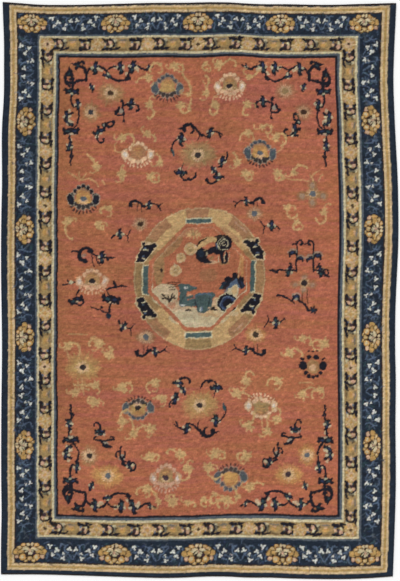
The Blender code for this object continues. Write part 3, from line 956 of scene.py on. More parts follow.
def right_scrolls(spot):
    """Two posts with hooked heads carry two drooping leaves each, over a low arm on either side."""
    for side, x, foot in ((-1, -3.7, 5.3), (1, 4.0, 4.9)):
        stem(spot, x, foot, 90, 12.4, 0, INK, (0.55, 0.42, 0.4))
        stem(spot, x, foot + 11.8, 90 - side * 10, 6.0, side * 18, INK, (0.4, 0.42, 0.6), side * 74)
        dome_leaf(on(spot, x + side * 2.0, 12.6 - side * 0.6, -side * 12, 1.05))
        dome_leaf(on(spot, x - side * 1.7, 10.8, side * 14, 0.95))
        stem(spot, x + side * 3.0, 8.8, 90 + side * 150, 2.6, 0, INK, (0.5, 0.45, 0.3))
        cross_leaf(on(spot, x + side * 3.4, 4.9, side * 12, 1.0))
    stem(spot, -3.7, 17.6, 150, 2.2, 40, INK, (0.4, 0.4, 0.4))
    dab(spot, 0.2, 17.8, 1.0, 0.35, INK)
    stem(spot, -3.7, 5.3, 180, 12.2, 0, INK, (0.5, 0.42, 0.4))
    stem(spot, -15.4, 5.2, -30, 3.6, 10, INK, (0.35, 0.45, 0.35))
    stem(spot, 4.0, 5.6, 0, 5.6, -6, INK, (0.5, 0.45, 0.4), 2)
    stem(spot, 9.0, 5.2, -70, 3.8, -4, INK, (0.4, 0.4, 0.5), 40)
    stem(spot, 9.6, 2.6, 10, 7.8, 26, INK, (0.4, 0.42, 0.6), 60)
    for x in (-0.4, 1.8):
        stem(spot, x, -3.8, -90, 6.0, 0, BROWN, (0.2, 0.28, 0.24), strength=0.85)
    stem(spot, -11.8, -6.4, -10, 8.6, -4, INK, (0.7, 0.42, 0.4))
    stem(spot, -10.6, -6.4, -50, 2.2, 30, INK, (0.5, 0.45, 0.3))
    dome_leaf(on(spot, -3.4, -7.4, -8, 1.1))
    dab(spot, -3.6, -8.2, 1.1, 0.7, MIST, strength=0.7)
    stem(spot, -2.6, -8.9, -14, 6.6, -8, INK, (0.5, 0.55, 0.6))
    for turn, x, y in around(range(10, 360, 58), 1.2, 1.1):
        dab(spot, 4.4 + x, -13.0 + y, 0.85, 0.5, INK, turn)
    dab(spot, 4.4, -13.0, 1.1, 0.9, NAVY)


middle_scrolls(Spot(-0.6, 62.8))
middle_scrolls(Spot(-0.1, -53.6, 180))
left_scrolls(Spot(-49.5, 5.0))
right_scrolls(Spot(48.4, 4.0))
print("four scroll sets")

# %% [markdown]
# ### Large flowers
# Thirteen flowers lie in pairs over the field. Each is seen half from the side: a big petal on
# either side, small ones above and below, and a heart. Eleven more are soft sunbursts with a dark
# middle, and four small ones stand at the roundel's shoulders.

# %% Flowers of the field
# A dye whose mean is below this counts as dark
DARK = 0.2


def petals_at(spot, places, long, wide, colour, strength=1.0):
    """Petals that point outwards: dark ones have a pale line round them, pale ones a fawn line."""
    line = MIST if colour.mean() < DARK else FAWN
    for turn, x, y in places:
        dab(spot, x, y, long + 0.36, wide + 0.32, line, turn, strength * 0.75)
    for turn, x, y in places:
        dab(spot, x, y, long, wide, colour, turn, strength)


def lotus(spot, wide, high, petals, heart, centre=None, strength=0.92):
    """Dashes hang below, scallops stand above, and a full petal stands at each side.

    A row of split petals lies under a domed heart.
    """
    a, b = wide / 2, high / 2
    dark = petals.mean() < DARK
    lower = INK if dark else petals
    for turn, x, y in around((216, 229, 242, 255, 270, 285, 298, 311, 324), a * 0.8, b * 0.86):
        stem(spot, x, y, turn, b * 0.17, 0, lower, (0.36, 0.48, 0.3), strength=strength * 0.85)
    scallops = around((36, 63, 90, 117, 144), a * 0.56, b * 0.84)
    petals_at(spot, scallops, b * 0.17, a * 0.125, petals, strength)
    petals_at(spot, around((17, 163), a * 0.74, b * 0.9), b * 0.15, a * 0.12, petals, strength)
    inner = NAVY if petals is INK else SEA if dark else IVORY
    for side in (1, -1):
        petals_at(spot, ((90 - side * 16, side * 0.75 * a, -0.06 * b),), 0.4 * b, 0.2 * a, petals, strength)
        dab(spot, side * 0.74 * a, -0.02 * b, 0.1 * a, 0.22 * b, inner, -side * 16, strength * 0.6)
    split = around((214, 240, 270, 300, 326), a * 0.5, b * 0.6)
    petals_at(spot, split, b * 0.19, a * 0.12, lower, strength * 0.9)
    dab(spot, 0, 0.18 * b, 0.47 * a, 0.58 * b, FAWN, strength=strength * 0.75)
    dab(spot, 0, 0.14 * b, 0.42 * a, 0.48 * b, heart, strength=strength * 0.85)
    dab(spot, 0, -0.14 * b, 0.5 * a, 0.2 * b, heart, strength=strength * 0.9)
    dab(spot, 0, 0.42 * b, 0.26 * a, 0.16 * b, RUSSET, strength=strength * 0.6)
    bend = -50 / (0.5 * a)
    for level in (0.34, 0.12, -0.1):
        stem(spot, -0.24 * a, level * b, 25, 0.5 * a, bend, AMBER, (0.15, 0.3, 0.15), strength=0.55)
    if centre is not None:
        for turn in (200, 230, 258, 284, 310, 340):
            stem(spot, 0, -0.2, turn, 2.4, 0, PEACH, (0.3, 0.42, 0.15), strength=0.7)
        dab(spot, 0, 0.1, 1.5, 1.25, centre, strength=0.97)


def blossom(spot, wide, high, petals, centre, strength=0.5):
    """Four round petals, faded, with a pale round and a dark middle."""
    for turn, x, y in around((90, 195, 270, 345), wide * 0.36, high * 0.32):
        dab(spot, x, y, wide * 0.18, wide * 0.16, petals, turn, strength)
        dab(spot, x, y, wide * 0.1, wide * 0.09, MIST, turn, strength * 0.8)
    dab(spot, 0, 0, wide * 0.24, high * 0.24, KHAKI, strength=strength)
    dab(spot, 0, 0, 2.1, 1.9, SAND, strength=strength * 0.7)
    for turn, x, y in around(range(0, 360, 40), 2.3, 2.1):
        dab(spot, x, y, 0.9, 0.2, SAND, turn, strength)
    dab(spot, 0, 0, 1.5, 1.35, centre, strength=0.95)


def sunburst(spot, wide, high, petals, centre, strength=0.6):
    """A soft round of uneven rays with fine pale strokes and a dark middle."""
    a, b = wide / 2, high / 2
    random = np.random.default_rng(int(wide * 10 + high))
    for turn, x, y in around(range(0, 360, 12), a * 0.62, b * 0.62):
        long, share = a * random.uniform(0.22, 0.46), random.uniform(0.4, 0.95)
        dab(spot, x, y, long, a * 0.09, petals, turn, strength * share)
    dab(spot, 0, 0, a * 0.55, b * 0.55, petals, strength=strength * 0.65)
    for turn, x, y in around(range(8, 360, 20), 2.4, 2.2):
        dab(spot, x, y, random.uniform(0.5, 1.3), 0.24, PEACH, turn, strength)
    dab(spot, 0, 0, 1.9, 1.5, SAND, strength=strength * 0.7)
    dab(spot, 0, 0, 1.4, 1.25, centre, strength=0.95)


# Columns: x, y, width, height, petals, heart, middle, turn, strength
LOTUSES = (
    (-14.8, 93.8, 15.6, 12.6, GREY, GOLD, None, 0, 0.95),
    (14.6, 94.0, 15.4, 12.6, PEACH, TAN, INK, 0, 0.9),
    (-28.6, 63.2, 15.8, 11.6, PEACH, FAWN, None, 0, 1.0),
    (28.2, 63.4, 15.6, 12.4, GREY, AMBER, SLATE, 0, 1.0),
    (-53.6, 42.4, 15.4, 13.4, INK, AMBER, SLATE, 0, 1.0),
    (-49.5, 4.4, 15.6, 12.0, PEACH, TAN, INK, 0, 0.65),
    (-28.2, -54.2, 15.4, 10.8, GREY, GOLD, INK, 180, 0.95),
    (28.6, -54.2, 15.8, 11.8, PEACH, TAN, None, 180, 0.95),
    (-15.4, -86.6, 15.2, 13.4, PINK, TAN, PLUM, 0, 0.85),
    (14.6, -87.2, 15.8, 12.6, GREY, AMBER, None, 180, 0.9),
)
# Columns: x, y, width, height, petals, middle, strength
SUNBURSTS = (
    (-41.6, 91.6, 13.6, 11.0, KHAKI, BROWN, 0.7), (-50.6, 82.6, 9.6, 11.6, KHAKI, NAVY, 0.6),
    (40.6, 92.6, 11.0, 8.6, OLIVE, OLIVE, 0.45), (48.8, 83.0, 9.0, 9.6, OLIVE, BROWN, 0.4),
    (-50.8, -76.4, 9.4, 12.0, KHAKI, INK, 0.7), (-42.2, -85.6, 15.4, 9.0, AMBER, SLATE, 0.75),
    (49.8, -76.4, 9.6, 12.0, AMBER, SLATE, 0.7), (41.4, -85.6, 14.0, 8.4, AMBER, PLUM, 0.7),
    (-27.4, 31.0, 7.4, 6.6, OLIVE, BROWN, 0.5), (25.2, 35.2, 8.6, 5.6, OLIVE, SLATE, 0.45),
    (-24.6, -21.4, 9.8, 6.6, OLIVE, SLATE, 0.6), (26.2, -21.0, 11.0, 7.4, AMBER, BLACK, 0.65),
    (-0.6, 62.8, 17.4, 12.4, TAN, INK, 0.8), (0.2, -53.4, 17.4, 12.4, GOLD, INK, 0.75),
    (-53.6, -35.6, 17.0, 13.0, GOLD, INK, 0.75),
)
# Columns: x, y of the dotted flower's dark knots from its middle, half width and height
DOTTED = (
    (4.6, 0.0, 1.9, 2.1), (3.4, -3.4, 1.0, 0.9), (1.9, -5.0, 0.95, 0.9), (0.0, -5.4, 0.9, 0.8),
    (1.7, 3.8, 1.5, 0.9), (4.6, 2.9, 0.55, 0.7), (0.0, 6.8, 0.8, 0.5), (1.8, 6.7, 0.6, 0.45),
    (5.4, 3.4, 0.5, 0.5),
)


def dotted_flower(spot):
    """Two dark rounds and arcs of dark dots about a faded gold heart."""
    dab(spot, 0, -0.6, 3.1, 3.3, KHAKI, strength=0.7)
    dab(spot, 0, -1.0, 1.5, 1.5, PEACH, strength=0.5)
    for x, y, wide, high in DOTTED:
        for side in (1, -1) if x else (1,):
            dab(spot, side * x, y, wide, high, INK)


for x, y, wide, high, petals, heart, centre, turn, strength in LOTUSES:
    lotus(Spot(x, y, turn), wide, high, petals, heart, centre, strength)
for x, y, wide, high, petals, centre, strength in SUNBURSTS:
    sunburst(Spot(x, y), wide, high, petals, centre, strength)
dotted_flower(Spot(52.8, -34.8))
blossom(Spot(52.0, 44.8), 14.0, 12.4, OLIVE, SLATE)
blossom(Spot(48.5, 3.4), 12.0, 9.0, OLIVE, INK, 0.4)
print(len(LOTUSES) + 3, "flowers and", len(SUNBURSTS), "sunbursts")

# %% [markdown]
# ### Pale leaves and tendrils
# Straw-coloured leaves fill the space between the flowers. A leaf has its place, turn and size, and
# then a tendril that leaves it with its own heading, length and curl.

# %% Pale leaves
# Columns: x, y, turn, size, tendril heading, length, turn at its start, turn at its end
PALE_LEAVES = (
    (-11.2, 103.6, 250, 1.15, 60, 7.0, -30, -45), (-23.6, 98.6, 120, 1.0, 175, 5.5, 0, 25),
    (-4.8, 91.0, 10, 0.7, 40, 9.0, 30, -10), (-23.4, 86.2, 60, 1.1, -60, 7.5, 10, -50),
    (-8.6, 85.6, 330, 1.05, 240, 6.5, 30, 40), (-4.6, 84.0, 200, 0.6, 80, 4.0, 0, 0),
    (-18.2, 104.6, 270, 0.55, 150, 6.0, 20, 30), (-35.6, 71.0, 150, 1.05, 60, 9.0, -30, -18),
    (-24.0, 72.6, 100, 1.0, 10, 5.0, -20, -30), (-18.4, 59.0, 200, 0.95, 70, 4.0, 20, 30),
    (-36.0, 53.6, 95, 1.3, 120, 4.0, -20, -20), (-22.6, 53.0, 30, 1.0, 250, 6.5, 30, 40),
    (-47.6, 57.6, 20, 1.05, 110, 6.0, 10, 0), (-41.8, 38.2, 200, 0.85, 150, 4.5, 20, 40),
    (-60.8, 32.0, 20, 1.15, 250, 8.0, 0, 25), (-46.8, 30.8, 345, 1.05, 240, 5.0, 40, 60),
    (9.4, 103.8, 110, 1.2, 10, 9.0, 20, -50), (3.2, 105.0, 200, 0.7, 180, 4.5, 50, 50),
    (23.4, 98.6, 240, 0.8, 0, 5.0, 20, 0), (3.6, 91.2, 200, 0.95, 110, 7.5, -30, 40),
    (7.4, 85.6, 60, 1.05, -40, 7.5, -20, -50), (22.6, 85.8, 320, 1.05, 230, 6.5, -10, 60),
    (23.0, 72.6, 340, 1.05, 180, 5.0, 10, 30), (35.6, 71.4, 210, 1.1, 60, 9.0, -30, -25),
    (29.4, 75.6, 120, 0.75, 60, 8.0, -30, -40), (17.8, 58.6, 40, 1.05, 100, 4.0, 0, 20),
    (21.0, 53.4, 10, 1.05, -110, 7.0, 30, 60), (36.2, 54.4, 250, 1.1, 200, 9.5, 45, 40),
    (43.6, 55.0, 100, 0.95, 80, 6.5, -20, -20), (40.2, 38.4, 140, 0.95, 240, 8.0, 20, 30),
    (57.4, 36.8, 240, 0.95, 300, 9.0, -10, -40), (44.6, 31.8, 60, 0.85, 190, 6.0, 30, 50),
    (-60.6, -25.8, 140, 1.15, 60, 8.5, -30, -15), (-46.0, -24.6, 200, 1.15, 110, 6.5, 20, 40),
    (-41.4, -29.6, 170, 1.15, 20, 4.5, 20, 60), (-48.0, -43.6, 250, 1.1, 170, 8.0, 10, -10),
    (-57.4, -47.4, 290, 1.1, 50, 6.0, -10, -20), (-48.0, -51.4, 200, 1.2, 230, 7.0, -30, -60),
    (-35.6, -44.6, 340, 1.35, 70, 8.0, -20, -40), (-20.2, -42.6, 30, 1.2, 150, 7.0, 25, 30),
    (-16.8, -49.6, 250, 1.05, 150, 4.0, 20, 20), (-35.6, -60.6, 40, 1.2, 130, 8.0, -20, -25),
    (-30.6, -66.2, 20, 1.0, 90, 6.0, 0, 10), (-22.6, -63.6, 200, 1.2, 140, 5.5, 20, 10),
    (-22.6, -76.6, 200, 1.3, 60, 8.0, -30, -50), (-8.6, -75.8, 60, 1.15, 160, 6.5, -25, 60),
    (-5.2, -82.0, 150, 1.25, -60, 9.0, -10, -40), (-24.2, -91.6, 60, 1.15, 150, 6.0, 10, 40),
    (-12.6, -97.8, 20, 1.45, 20, 5.5, 40, 50), (-5.2, -98.0, 160, 0.75, 30, 4.0, -30, -40),
    (-18.8, -97.6, 250, 0.8, 110, 5.5, 0, 10), (21.8, -42.4, 200, 1.15, 130, 7.0, -25, -35),
    (17.4, -48.4, 340, 1.3, 30, 5.0, -20, -10), (36.8, -42.4, 200, 1.2, 140, 6.0, 10, 40),
    (22.8, -63.2, 190, 1.3, 30, 6.0, 20, 0), (35.8, -60.4, 140, 1.1, 40, 7.5, 10, 40),
    (31.6, -65.8, 200, 1.1, 90, 6.0, 0, 0), (48.2, -22.4, 150, 1.0, 50, 5.5, -30, -40),
    (57.8, -24.6, 40, 1.25, 110, 8.0, 25, 30), (42.2, -29.0, 150, 1.1, 70, 6.5, -30, -20),
    (48.2, -48.2, 160, 1.15, 70, 6.5, -10, -30), (56.2, -46.0, 60, 0.95, 160, 6.0, 20, 30),
    (7.0, -76.2, 250, 1.3, 40, 8.0, -10, -55), (4.6, -82.2, 330, 1.3, 240, 9.5, 20, 20),
    (21.8, -77.4, 200, 1.3, 120, 8.0, 25, 50), (23.4, -91.8, 330, 1.1, 40, 6.0, 0, -30),
    (12.6, -97.6, 340, 1.45, 150, 6.0, 20, 40), (2.4, -96.8, 200, 0.85, 200, 4.5, 30, 50),
    (18.0, -96.4, 60, 0.8, 100, 4.5, 0, 20), (7.2, -94.8, 10, 0.7, 200, 7.0, 20, 60),
)
# Columns: x, y, heading, length, turn at its start, turn at its end
TENDRILS = (
    (-55.4, 51.4, 100, 3.6, 0, -10), (-55.2, 51.4, 40, 4.2, 0, 10), (-60.4, 54.6, -30, 6.0, 0, -10),
    (-54.4, 51.2, 20, 9.5, -6, -14), (-45.0, 51.6, -60, 2.6, 0, 0), (37.4, 52.0, 0, 13.0, -2, 2),
    (50.8, 52.0, 35, 6.0, 10, -20), (53.0, 49.6, 110, 4.4, 0, 10), (54.6, 50.4, 60, 4.0, 0, -10),
    (-60.6, -20.6, 10, 9.0, -4, 2), (-50.4, -22.4, 70, 8.0, -35, -10), (-60.0, -31.4, 120, 4.0, -10, 0),
    (-53.8, -40.6, -80, 7.5, -6, 8), (-55.6, -42.0, -100, 5.0, 0, 20), (2.2, 97.6, -90, 8.0, 14, -18),
    (-38.6, 68.8, 230, 7.0, 14, 30), (38.6, 69.4, -60, 6.5, -20, -10), (-29.0, -62.0, -90, 4.6, 0, 0),
    (29.0, -60.4, -90, 5.4, 0, 2), (-27.0, -60.8, -60, 4.5, 0, 0), (46.4, -43.0, 10, 6.5, 0, -10),
)


def pale_plants():
    """Each leaf's tendrils, then the leaf over them, then the loose tendrils."""
    random = np.random.default_rng(23)
    for x, y, turn, size, heading, length, first, last in PALE_LEAVES:
        path = curl(x, y, heading, 1.2 * length, 0.75 * first, 0.85 * last)
        stroke(FLAT, path, (0.5, 0.5, 0.42), STRAW, 0.8)
        dab(FLAT, path[-1, 0], path[-1, 1], 0.8, 0.55, STRAW, heading, 0.7)
        side = path[len(path) // 2] + (0.3, 0.5)
        dab(FLAT, side[0], side[1], 0.9, 0.4, STRAW, heading + 50, 0.55)
        stem(FLAT, x, y, heading + 150, 5.4, 6, STRAW, (0.45, 0.4, 0.45), -62, 0.6)
        pale_leaf(Spot(x, y, turn, size * 0.95), random)
    for x, y, heading, length, first, last in TENDRILS:
        stem(FLAT, x, y, heading, length, first, STRAW, (0.3, 0.4, 0.3), last, 0.6)
    return len(PALE_LEAVES)


print(pale_plants(), "pale leaves")

# %% [markdown]
# ## The roundel
# In the middle of the field a band of straw and khaki, round outside and eight-sided inside, holds
# a small landscape with two lion dogs at play, a common subject on rugs of this kind. The animals
# here are built up from the same dabs and strokes as the flowers.

# %% The roundel's band
ROUNDEL = Spot(0.1, 5.5)
OUTER_WIDE, OUTER_HIGH, MEAN_RADIUS = 30.4, 33.0, 31.6
INNER_WIDE, INNER_HIGH, FLAT_TOP, FLAT_SIDE, INNER_RISE = 21.4, 22.6, 5.6, 6.4, 0.7


def eight_sides(px, py):
    """Depth inside the eight-sided line: the least distance from its level, upright and slanting sides."""
    x, y = np.abs(px), np.abs(py - INNER_RISE)
    run, rise = INNER_WIDE - FLAT_TOP, INNER_HIGH - FLAT_SIDE
    slant = (rise * (INNER_WIDE - x) + run * (FLAT_SIDE - y)) / math.hypot(run, rise)
    return np.minimum(np.minimum(INNER_WIDE - x, INNER_HIGH - y), slant)


def ring(outside, inside, colour, strength=1.0, top=28):
    """What lies between two distances outside the eight-sided line, and below a height."""
    def depth(px, py):
        return np.minimum(eight_sides(px, py) + outside, -eight_sides(px, py) - inside)

    paint(ROUNDEL, (-27, -28), (27, top), depth, colour, strength)


def sector(near, far, first, last, colour, strength=1.0):
    """Part of the band, between two distances in from its round outer edge and between two angles."""
    middle, half = math.radians((first + last) / 2), math.radians((last - first) / 2)

    def depth(px, py):
        x, y = px / OUTER_WIDE, py / OUTER_HIGH
        radius = np.hypot(x, y)
        inside = (1 - radius) * MEAN_RADIUS
        corner = half - np.abs(np.angle(np.exp(1j * (np.arctan2(y, x) - middle))))
        return np.minimum(np.minimum(inside - near, far - inside), corner * radius * MEAN_RADIUS)

    paint(ROUNDEL, (-31, -34), (31, 34), depth, colour, strength)


# Columns: nearest and farthest from the outer edge in cm, first and last angle, dye, strength
BAND_PARTS = (
    (0, 32, -180, 180, KHAKI, 0.9), (0, 12, 60, 82, STRAW, 0.95), (0, 4.8, 38, 60, FAWN, 0.85),
    (4.8, 12, 30, 60, STRAW, 0.95), (0, 4.6, 82, 103, FAWN, 0.95), (4.6, 12, 82, 103, TAN, 0.9),
    (0, 12, 103, 121, STRAW, 0.95), (0, 4.8, 121, 143, FAWN, 0.85), (4.8, 12, 121, 148, STRAW, 0.95),
    (0, 4.4, 168, 196, OLIVE, 0.45), (0, 4.6, -141, -120, FAWN, 0.9), (4.6, 12, -145, -120, STRAW, 0.95),
    (0, 12, -120, -103, STRAW, 0.95), (0, 4.6, -103, -79, KHAKI, 0.9), (4.6, 12, -103, -79, STRAW, 0.9),
    (0, 12, -79, -60, STRAW, 0.95), (0, 4.8, -60, -38, FAWN, 0.85), (4.8, 12, -62, -36, STRAW, 0.95),
    (0, 4.6, -13, 17, FAWN, 0.4), (1.6, 2.4, 42, 56, PINK, 0.5), (1.8, 2.6, -56, -44, PINK, 0.5),
    (1.4, 2.2, -136, -124, OLIVE, 0.6), (0, 0.6, -180, 180, SAND, 0.35),
)
# Columns: left, bottom, right and top of a bar in cm from the roundel's middle
BARS = (
    (-6.3, 25.7, 5.0, 27.6), (-6.2, -27.2, 5.6, -25.0), (-26.0, -7.2, -23.4, 5.9),
    (23.2, -6.4, 25.6, 7.6),
)
# Columns: x, y, turn, mirror of a black cloud in each corner of the band
CLOUDS = ((-25.3, 11.8, 0, 1), (25.6, 12.8, 0, -1), (-25.1, -13.2, 180, -1), (24.6, -11.8, 180, 1))


def cloud(spot):
    """A slanting black patch with a pale edge, notched ends and curled marks."""
    for grow, colour in ((0.5, SAND), (0.0, INK)):
        corners = (
            (-4.2 - grow, -4.0 - grow), (-0.8, -4.4 - grow), (4.2 + grow, 2.0),
            (3.6 + grow, 4.2 + grow), (-0.4, 3.8 + grow), (-3.6 - grow, -0.8),
        )
        patch(spot, corners, colour)
        dab(spot, -0.6, 4.4, 0.9 + grow, 1.0 + grow, colour)
        dab(spot, 4.3, 3.6, 1.1 + grow, 0.9 + grow, colour)
    dab(spot, 2.0, 4.6, 0.9, 0.7, SAND)
    dab(spot, -4.0, -1.8, 0.8, 0.6, SAND, 50)
    for x, y, turn in ((-0.8, 1.6, 30), (-1.6, -2.2, 20)):
        stem(spot, x, y, turn, 2.4, -40, CREAM, (0.14, 0.34, 0.14), strength=0.9)
        dab(spot, x + 0.8, y + 0.9, 0.6, 0.35, STEEL, strength=0.8)


def bar(left, bottom, right, top, colour):
    """A straight-sided bar of the roundel."""
    patch(ROUNDEL, ((left, bottom), (right, bottom), (right, top), (left, top)), colour)


for near, far, first, last, colour, strength in BAND_PARTS:
    sector(near, far, first, last, colour, strength)
for left, bottom, right, top in BARS:
    for grow, colour in ((0.5, CREAM), (0.0, SEA)):
        bar(left - grow, bottom - grow, right + grow, top + grow, colour)
for x, y, turn, flip in CLOUDS:
    cloud(Spot(x + ROUNDEL.x, y + ROUNDEL.y, turn, 1.0, flip))
ring(2.0, -30.0, CORAL, 0.97)
print("roundel's band worked")

# %% The bank, the rocks and the plants
# Columns: x, y, half width, half height, tilt, dye, strength
WASHES = (
    (-18.6, 10.6, 2.6, 8.0, 0, KHAKI, 0.75), (-13.2, 20.6, 7.0, 2.8, 45, KHAKI, 0.65),
    (-5.6, 26.6, 5.6, 1.5, 12, FAWN, 0.8), (4.2, 7.0, 4.2, 3.2, 0, OLIVE, 0.35),
    (19.4, 12.0, 0.9, 8.4, 4, AMBER, 0.55), (18.2, 8.0, 0.35, 5.6, -8, STRAW, 0.7),
    (13.6, 25.4, 6.0, 1.4, -40, FAWN, 0.6), (-15.6, -2.0, 6.2, 5.4, 0, CREAM, 0.72),
    (-8.0, -9.6, 8.4, 4.4, -24, CREAM, 0.6), (0.0, -12.6, 14.0, 4.6, 0, CREAM, 0.6),
    (8.6, -11.6, 9.0, 3.2, 14, STRAW, 0.6), (0.0, -14.4, 9.5, 2.6, 0, CREAM, 0.6),
    (8.2, -7.4, 2.2, 4.0, 0, SAND, 0.8), (5.0, 12.9, 3.4, 0.9, 0, SAND, 0.6),
    (11.4, 12.2, 2.4, 0.8, 0, KHAKI, 0.6), (-12.8, -7.0, 2.0, 1.6, 0, CORAL, 0.6),
    (-10.8, -5.0, 1.2, 0.8, 0, CORAL, 0.4),
)
# Columns: x, y, half width, half height, dye
ROCKS = (
    (10.4, 0.6, 1.2, 0.9, TEAL), (11.8, 2.2, 1.4, 1.3, NAVY), (13.5, 4.4, 1.6, 1.5, INK),
    (16.4, 6.0, 1.3, 1.6, INK), (19.2, 4.2, 1.4, 1.7, INK), (19.9, 1.6, 1.0, 1.7, NAVY),
    (14.4, 2.6, 1.5, 1.3, STEEL), (16.6, 4.2, 1.0, 1.2, SLATE), (18.6, 2.4, 1.0, 1.4, INDIGO),
)
# Columns: half width, half height, dye of the rings of the wave
WAVE_RINGS = (
    (4.9, 4.7, CREAM), (4.5, 4.3, INK), (3.5, 3.4, STEEL), (3.1, 2.9, INDIGO), (2.3, 2.2, INK),
)
# Columns: x, y, heading, length, turn
TWIGS = (
    (-13.6, -5.2, 60, 3.6, -16), (-13.8, -5.2, 95, 3.0, 0), (-13.8, -5.0, 128, 4.0, 16),
    (-14.6, -3.8, 160, 2.6, 10), (-13.0, -4.2, 36, 2.6, 10), (-16.2, -2.4, 130, 1.4, 0),
    (-12.6, -3.4, 80, 2.2, 0),
)
# Columns: x, y, length of the level lines behind the blue dog's head
MANE_LINES = (
    (-14.4, 3.6, 5.4), (-13.4, 2.8, 3.0), (-14.6, 1.4, 4.4), (-13.6, 0.4, 2.6), (-11.6, 2.2, 2.2),
)
for x, y, wide, high, tilt, colour, strength in WASHES:
    dab(FLAT, x, y, wide, high, colour, tilt, strength)
for x, y, wide, high, colour in ROCKS:
    dab(FLAT, x, y, wide, high, colour)
patch(FLAT, ((10.6, -0.4), (20.4, 0.8), (16.9, 6.6), (13.6, 4.6)), INK, 0.95)
patch(FLAT, ((12.0, -0.8), (19.4, 0.4), (16.7, 5.2)), STEEL, 0.85)
patch(FLAT, ((9.8, -2.2), (17.6, -4.0), (18.6, -0.6), (16.5, 3.8), (13.6, 0.2)), CREAM, 0.9)
dab(FLAT, 16.4, -0.8, 1.3, 2.2, STRAW, 10, 0.8)
dab(FLAT, 12.4, -0.9, 1.3, 0.6, SLATE, 20, 0.7)
for wide, high, colour in WAVE_RINGS:
    dab(FLAT, 13.2, -6.9 + high * 0.12, wide, high, colour)
dab(FLAT, 14.0, -8.6, 1.3, 1.5, CREAM)
patch(FLAT, ((8.4, -12.4), (18.2, -12.4), (18.2, -10.4), (8.4, -10.4)), SAND, 0.8)
for x, y, heading, length, turn in TWIGS:
    stem(FLAT, x, y, heading, length, turn, BLACK, (0.5, 0.4, 0.2), strength=0.95)
for x, y, length in MANE_LINES:
    stem(FLAT, x, y, 4, length, 0, BROWN, (0.16, 0.28, 0.2), strength=0.85)
ring(2.2, 0.45, CORAL, 0.6)
ring(2.2, 0.45, CORAL, 0.85, -2)
ring(0.5, 0.0, PEACH, 0.3)
ring(0.5, 0.0, CREAM, 0.7, -3)
print(len(WASHES), "washes")

# %% Two lion dogs
# Columns: x, y, half width, half height, tilt, dye, strength
BLUE_DOG = (
    (2.3, -5.6, 4.0, 4.7, 0, SEA, 1), (2.4, -3.0, 4.6, 2.0, -4, SEA, 1),
    (6.3, -2.2, 1.5, 0.9, -24, SEA, 1), (1.2, -8.6, 2.5, 2.0, 0, SEA, 1),
    (-8.8, 2.8, 1.0, 0.7, 20, SEA, 1), (-4.4, -3.0, 2.0, 0.8, 14, SEA, 1),
    (-3.6, -1.5, 1.7, 0.8, 12, CORAL, 0.9), (-4.3, -2.1, 1.0, 0.4, 12, PEACH, 0.6),
    (-6.0, 1.4, 0.95, 0.62, 0, IVORY, 0.9), (-5.8, 1.4, 0.4, 0.35, 0, NAVY, 1),
    (-7.4, -6.8, 1.3, 0.35, 0, IVORY, 0.7), (0.9, -8.8, 0.7, 1.2, 0, IVORY, 0.6),
    (1.2, -8.6, 0.4, 0.9, 0, STEEL, 1), (-4.6, -8.3, 2.0, 0.5, 0, SAND, 0.9),
    (4.9, -8.4, 0.9, 0.5, 0, PEACH, 0.7), (-5.0, -9.2, 1.9, 0.45, 0, BLACK, 1),
    (6.4, -8.8, 1.2, 0.9, 20, BLACK, 1), (7.6, -9.4, 1.0, 0.5, 0, INK, 1),
)
DARK_DOG = (
    (1.0, 16.8, 2.9, 3.2, 10, INK, 1), (1.8, 13.9, 2.5, 1.3, -10, INK, 1),
    (3.7, 12.9, 2.1, 0.75, 0, INK, 1), (5.4, 18.4, 3.2, 1.6, 24, INK, 1),
    (8.8, 18.4, 2.8, 2.3, 0, INK, 1), (11.0, 21.4, 4.0, 3.8, 0, INK, 1),
    (9.6, 24.2, 2.8, 1.1, 0, BLACK, 1), (10.3, 15.2, 0.85, 2.9, 8, INK, 1),
    (12.4, 14.8, 0.75, 2.7, 6, INK, 1), (11.4, 12.4, 1.2, 0.6, 0, INK, 1),
    (0.6, 17.2, 1.3, 1.7, 30, NAVY, 1), (2.6, 18.8, 1.0, 0.35, 30, TAN, 0.7),
    (5.4, 14.8, 1.4, 0.9, 0, OLIVE, 0.6), (7.6, 20.6, 0.5, 1.4, 10, STEEL, 0.8),
    (3.4, 16.6, 0.4, 1.0, 0, CREAM, 0.6),
)
# Corners of the blue dog's head, chest and belly
BLUE_DOG_PARTS = (
    ((-8.9, 0.0), (-4.6, -0.6), (-1.2, 0.7), (-0.9, 1.5), (-4.6, 2.8), (-8.6, 3.4)),
    ((-8.9, -7.4), (-5.0, -7.4), (-6.0, 0.4), (-8.9, 0.4)),
    ((-8.6, -7.2), (0.0, -7.6), (0.0, -3.4), (-3.8, -4.0), (-7.0, -4.4)),
)
# Columns: x, y, heading, length, turn, dye, strength
BLUE_DOG_LINES = (
    (-2.8, -4.0, 52, 10.0, -9, STEEL, 0.8), (-1.4, -4.6, -95, 4.0, 6, INK, 0.7),
    (4.9, -3.4, -88, 4.4, -6, INK, 0.75), (-8.2, -6.0, 84, 5.6, -8, INK, 0.4),
)
for corners in BLUE_DOG_PARTS:
    patch(FLAT, corners, SEA)
for table in (BLUE_DOG, DARK_DOG):
    for x, y, wide, high, tilt, colour, strength in table:
        dab(FLAT, x, y, wide, high, colour, tilt, strength)
for n in range(24):
    x, y = -3.0 + (n % 8) * 1.2, -3.4 - 1.6 * (n // 8) + 0.4 * (n % 2)
    dab(FLAT, x, y, 0.42, 0.36, NAVY, strength=0.45)
for x, y, heading, length, turn, colour, strength in BLUE_DOG_LINES:
    stem(FLAT, x, y, heading, length, turn, colour, (0.18, 0.32, 0.2), strength=strength)
stroke(FLAT, curl(-0.9, 19.6, 62, 9.0, -8), (0.6, 1.7, 1.5, 0.9), STRAW)
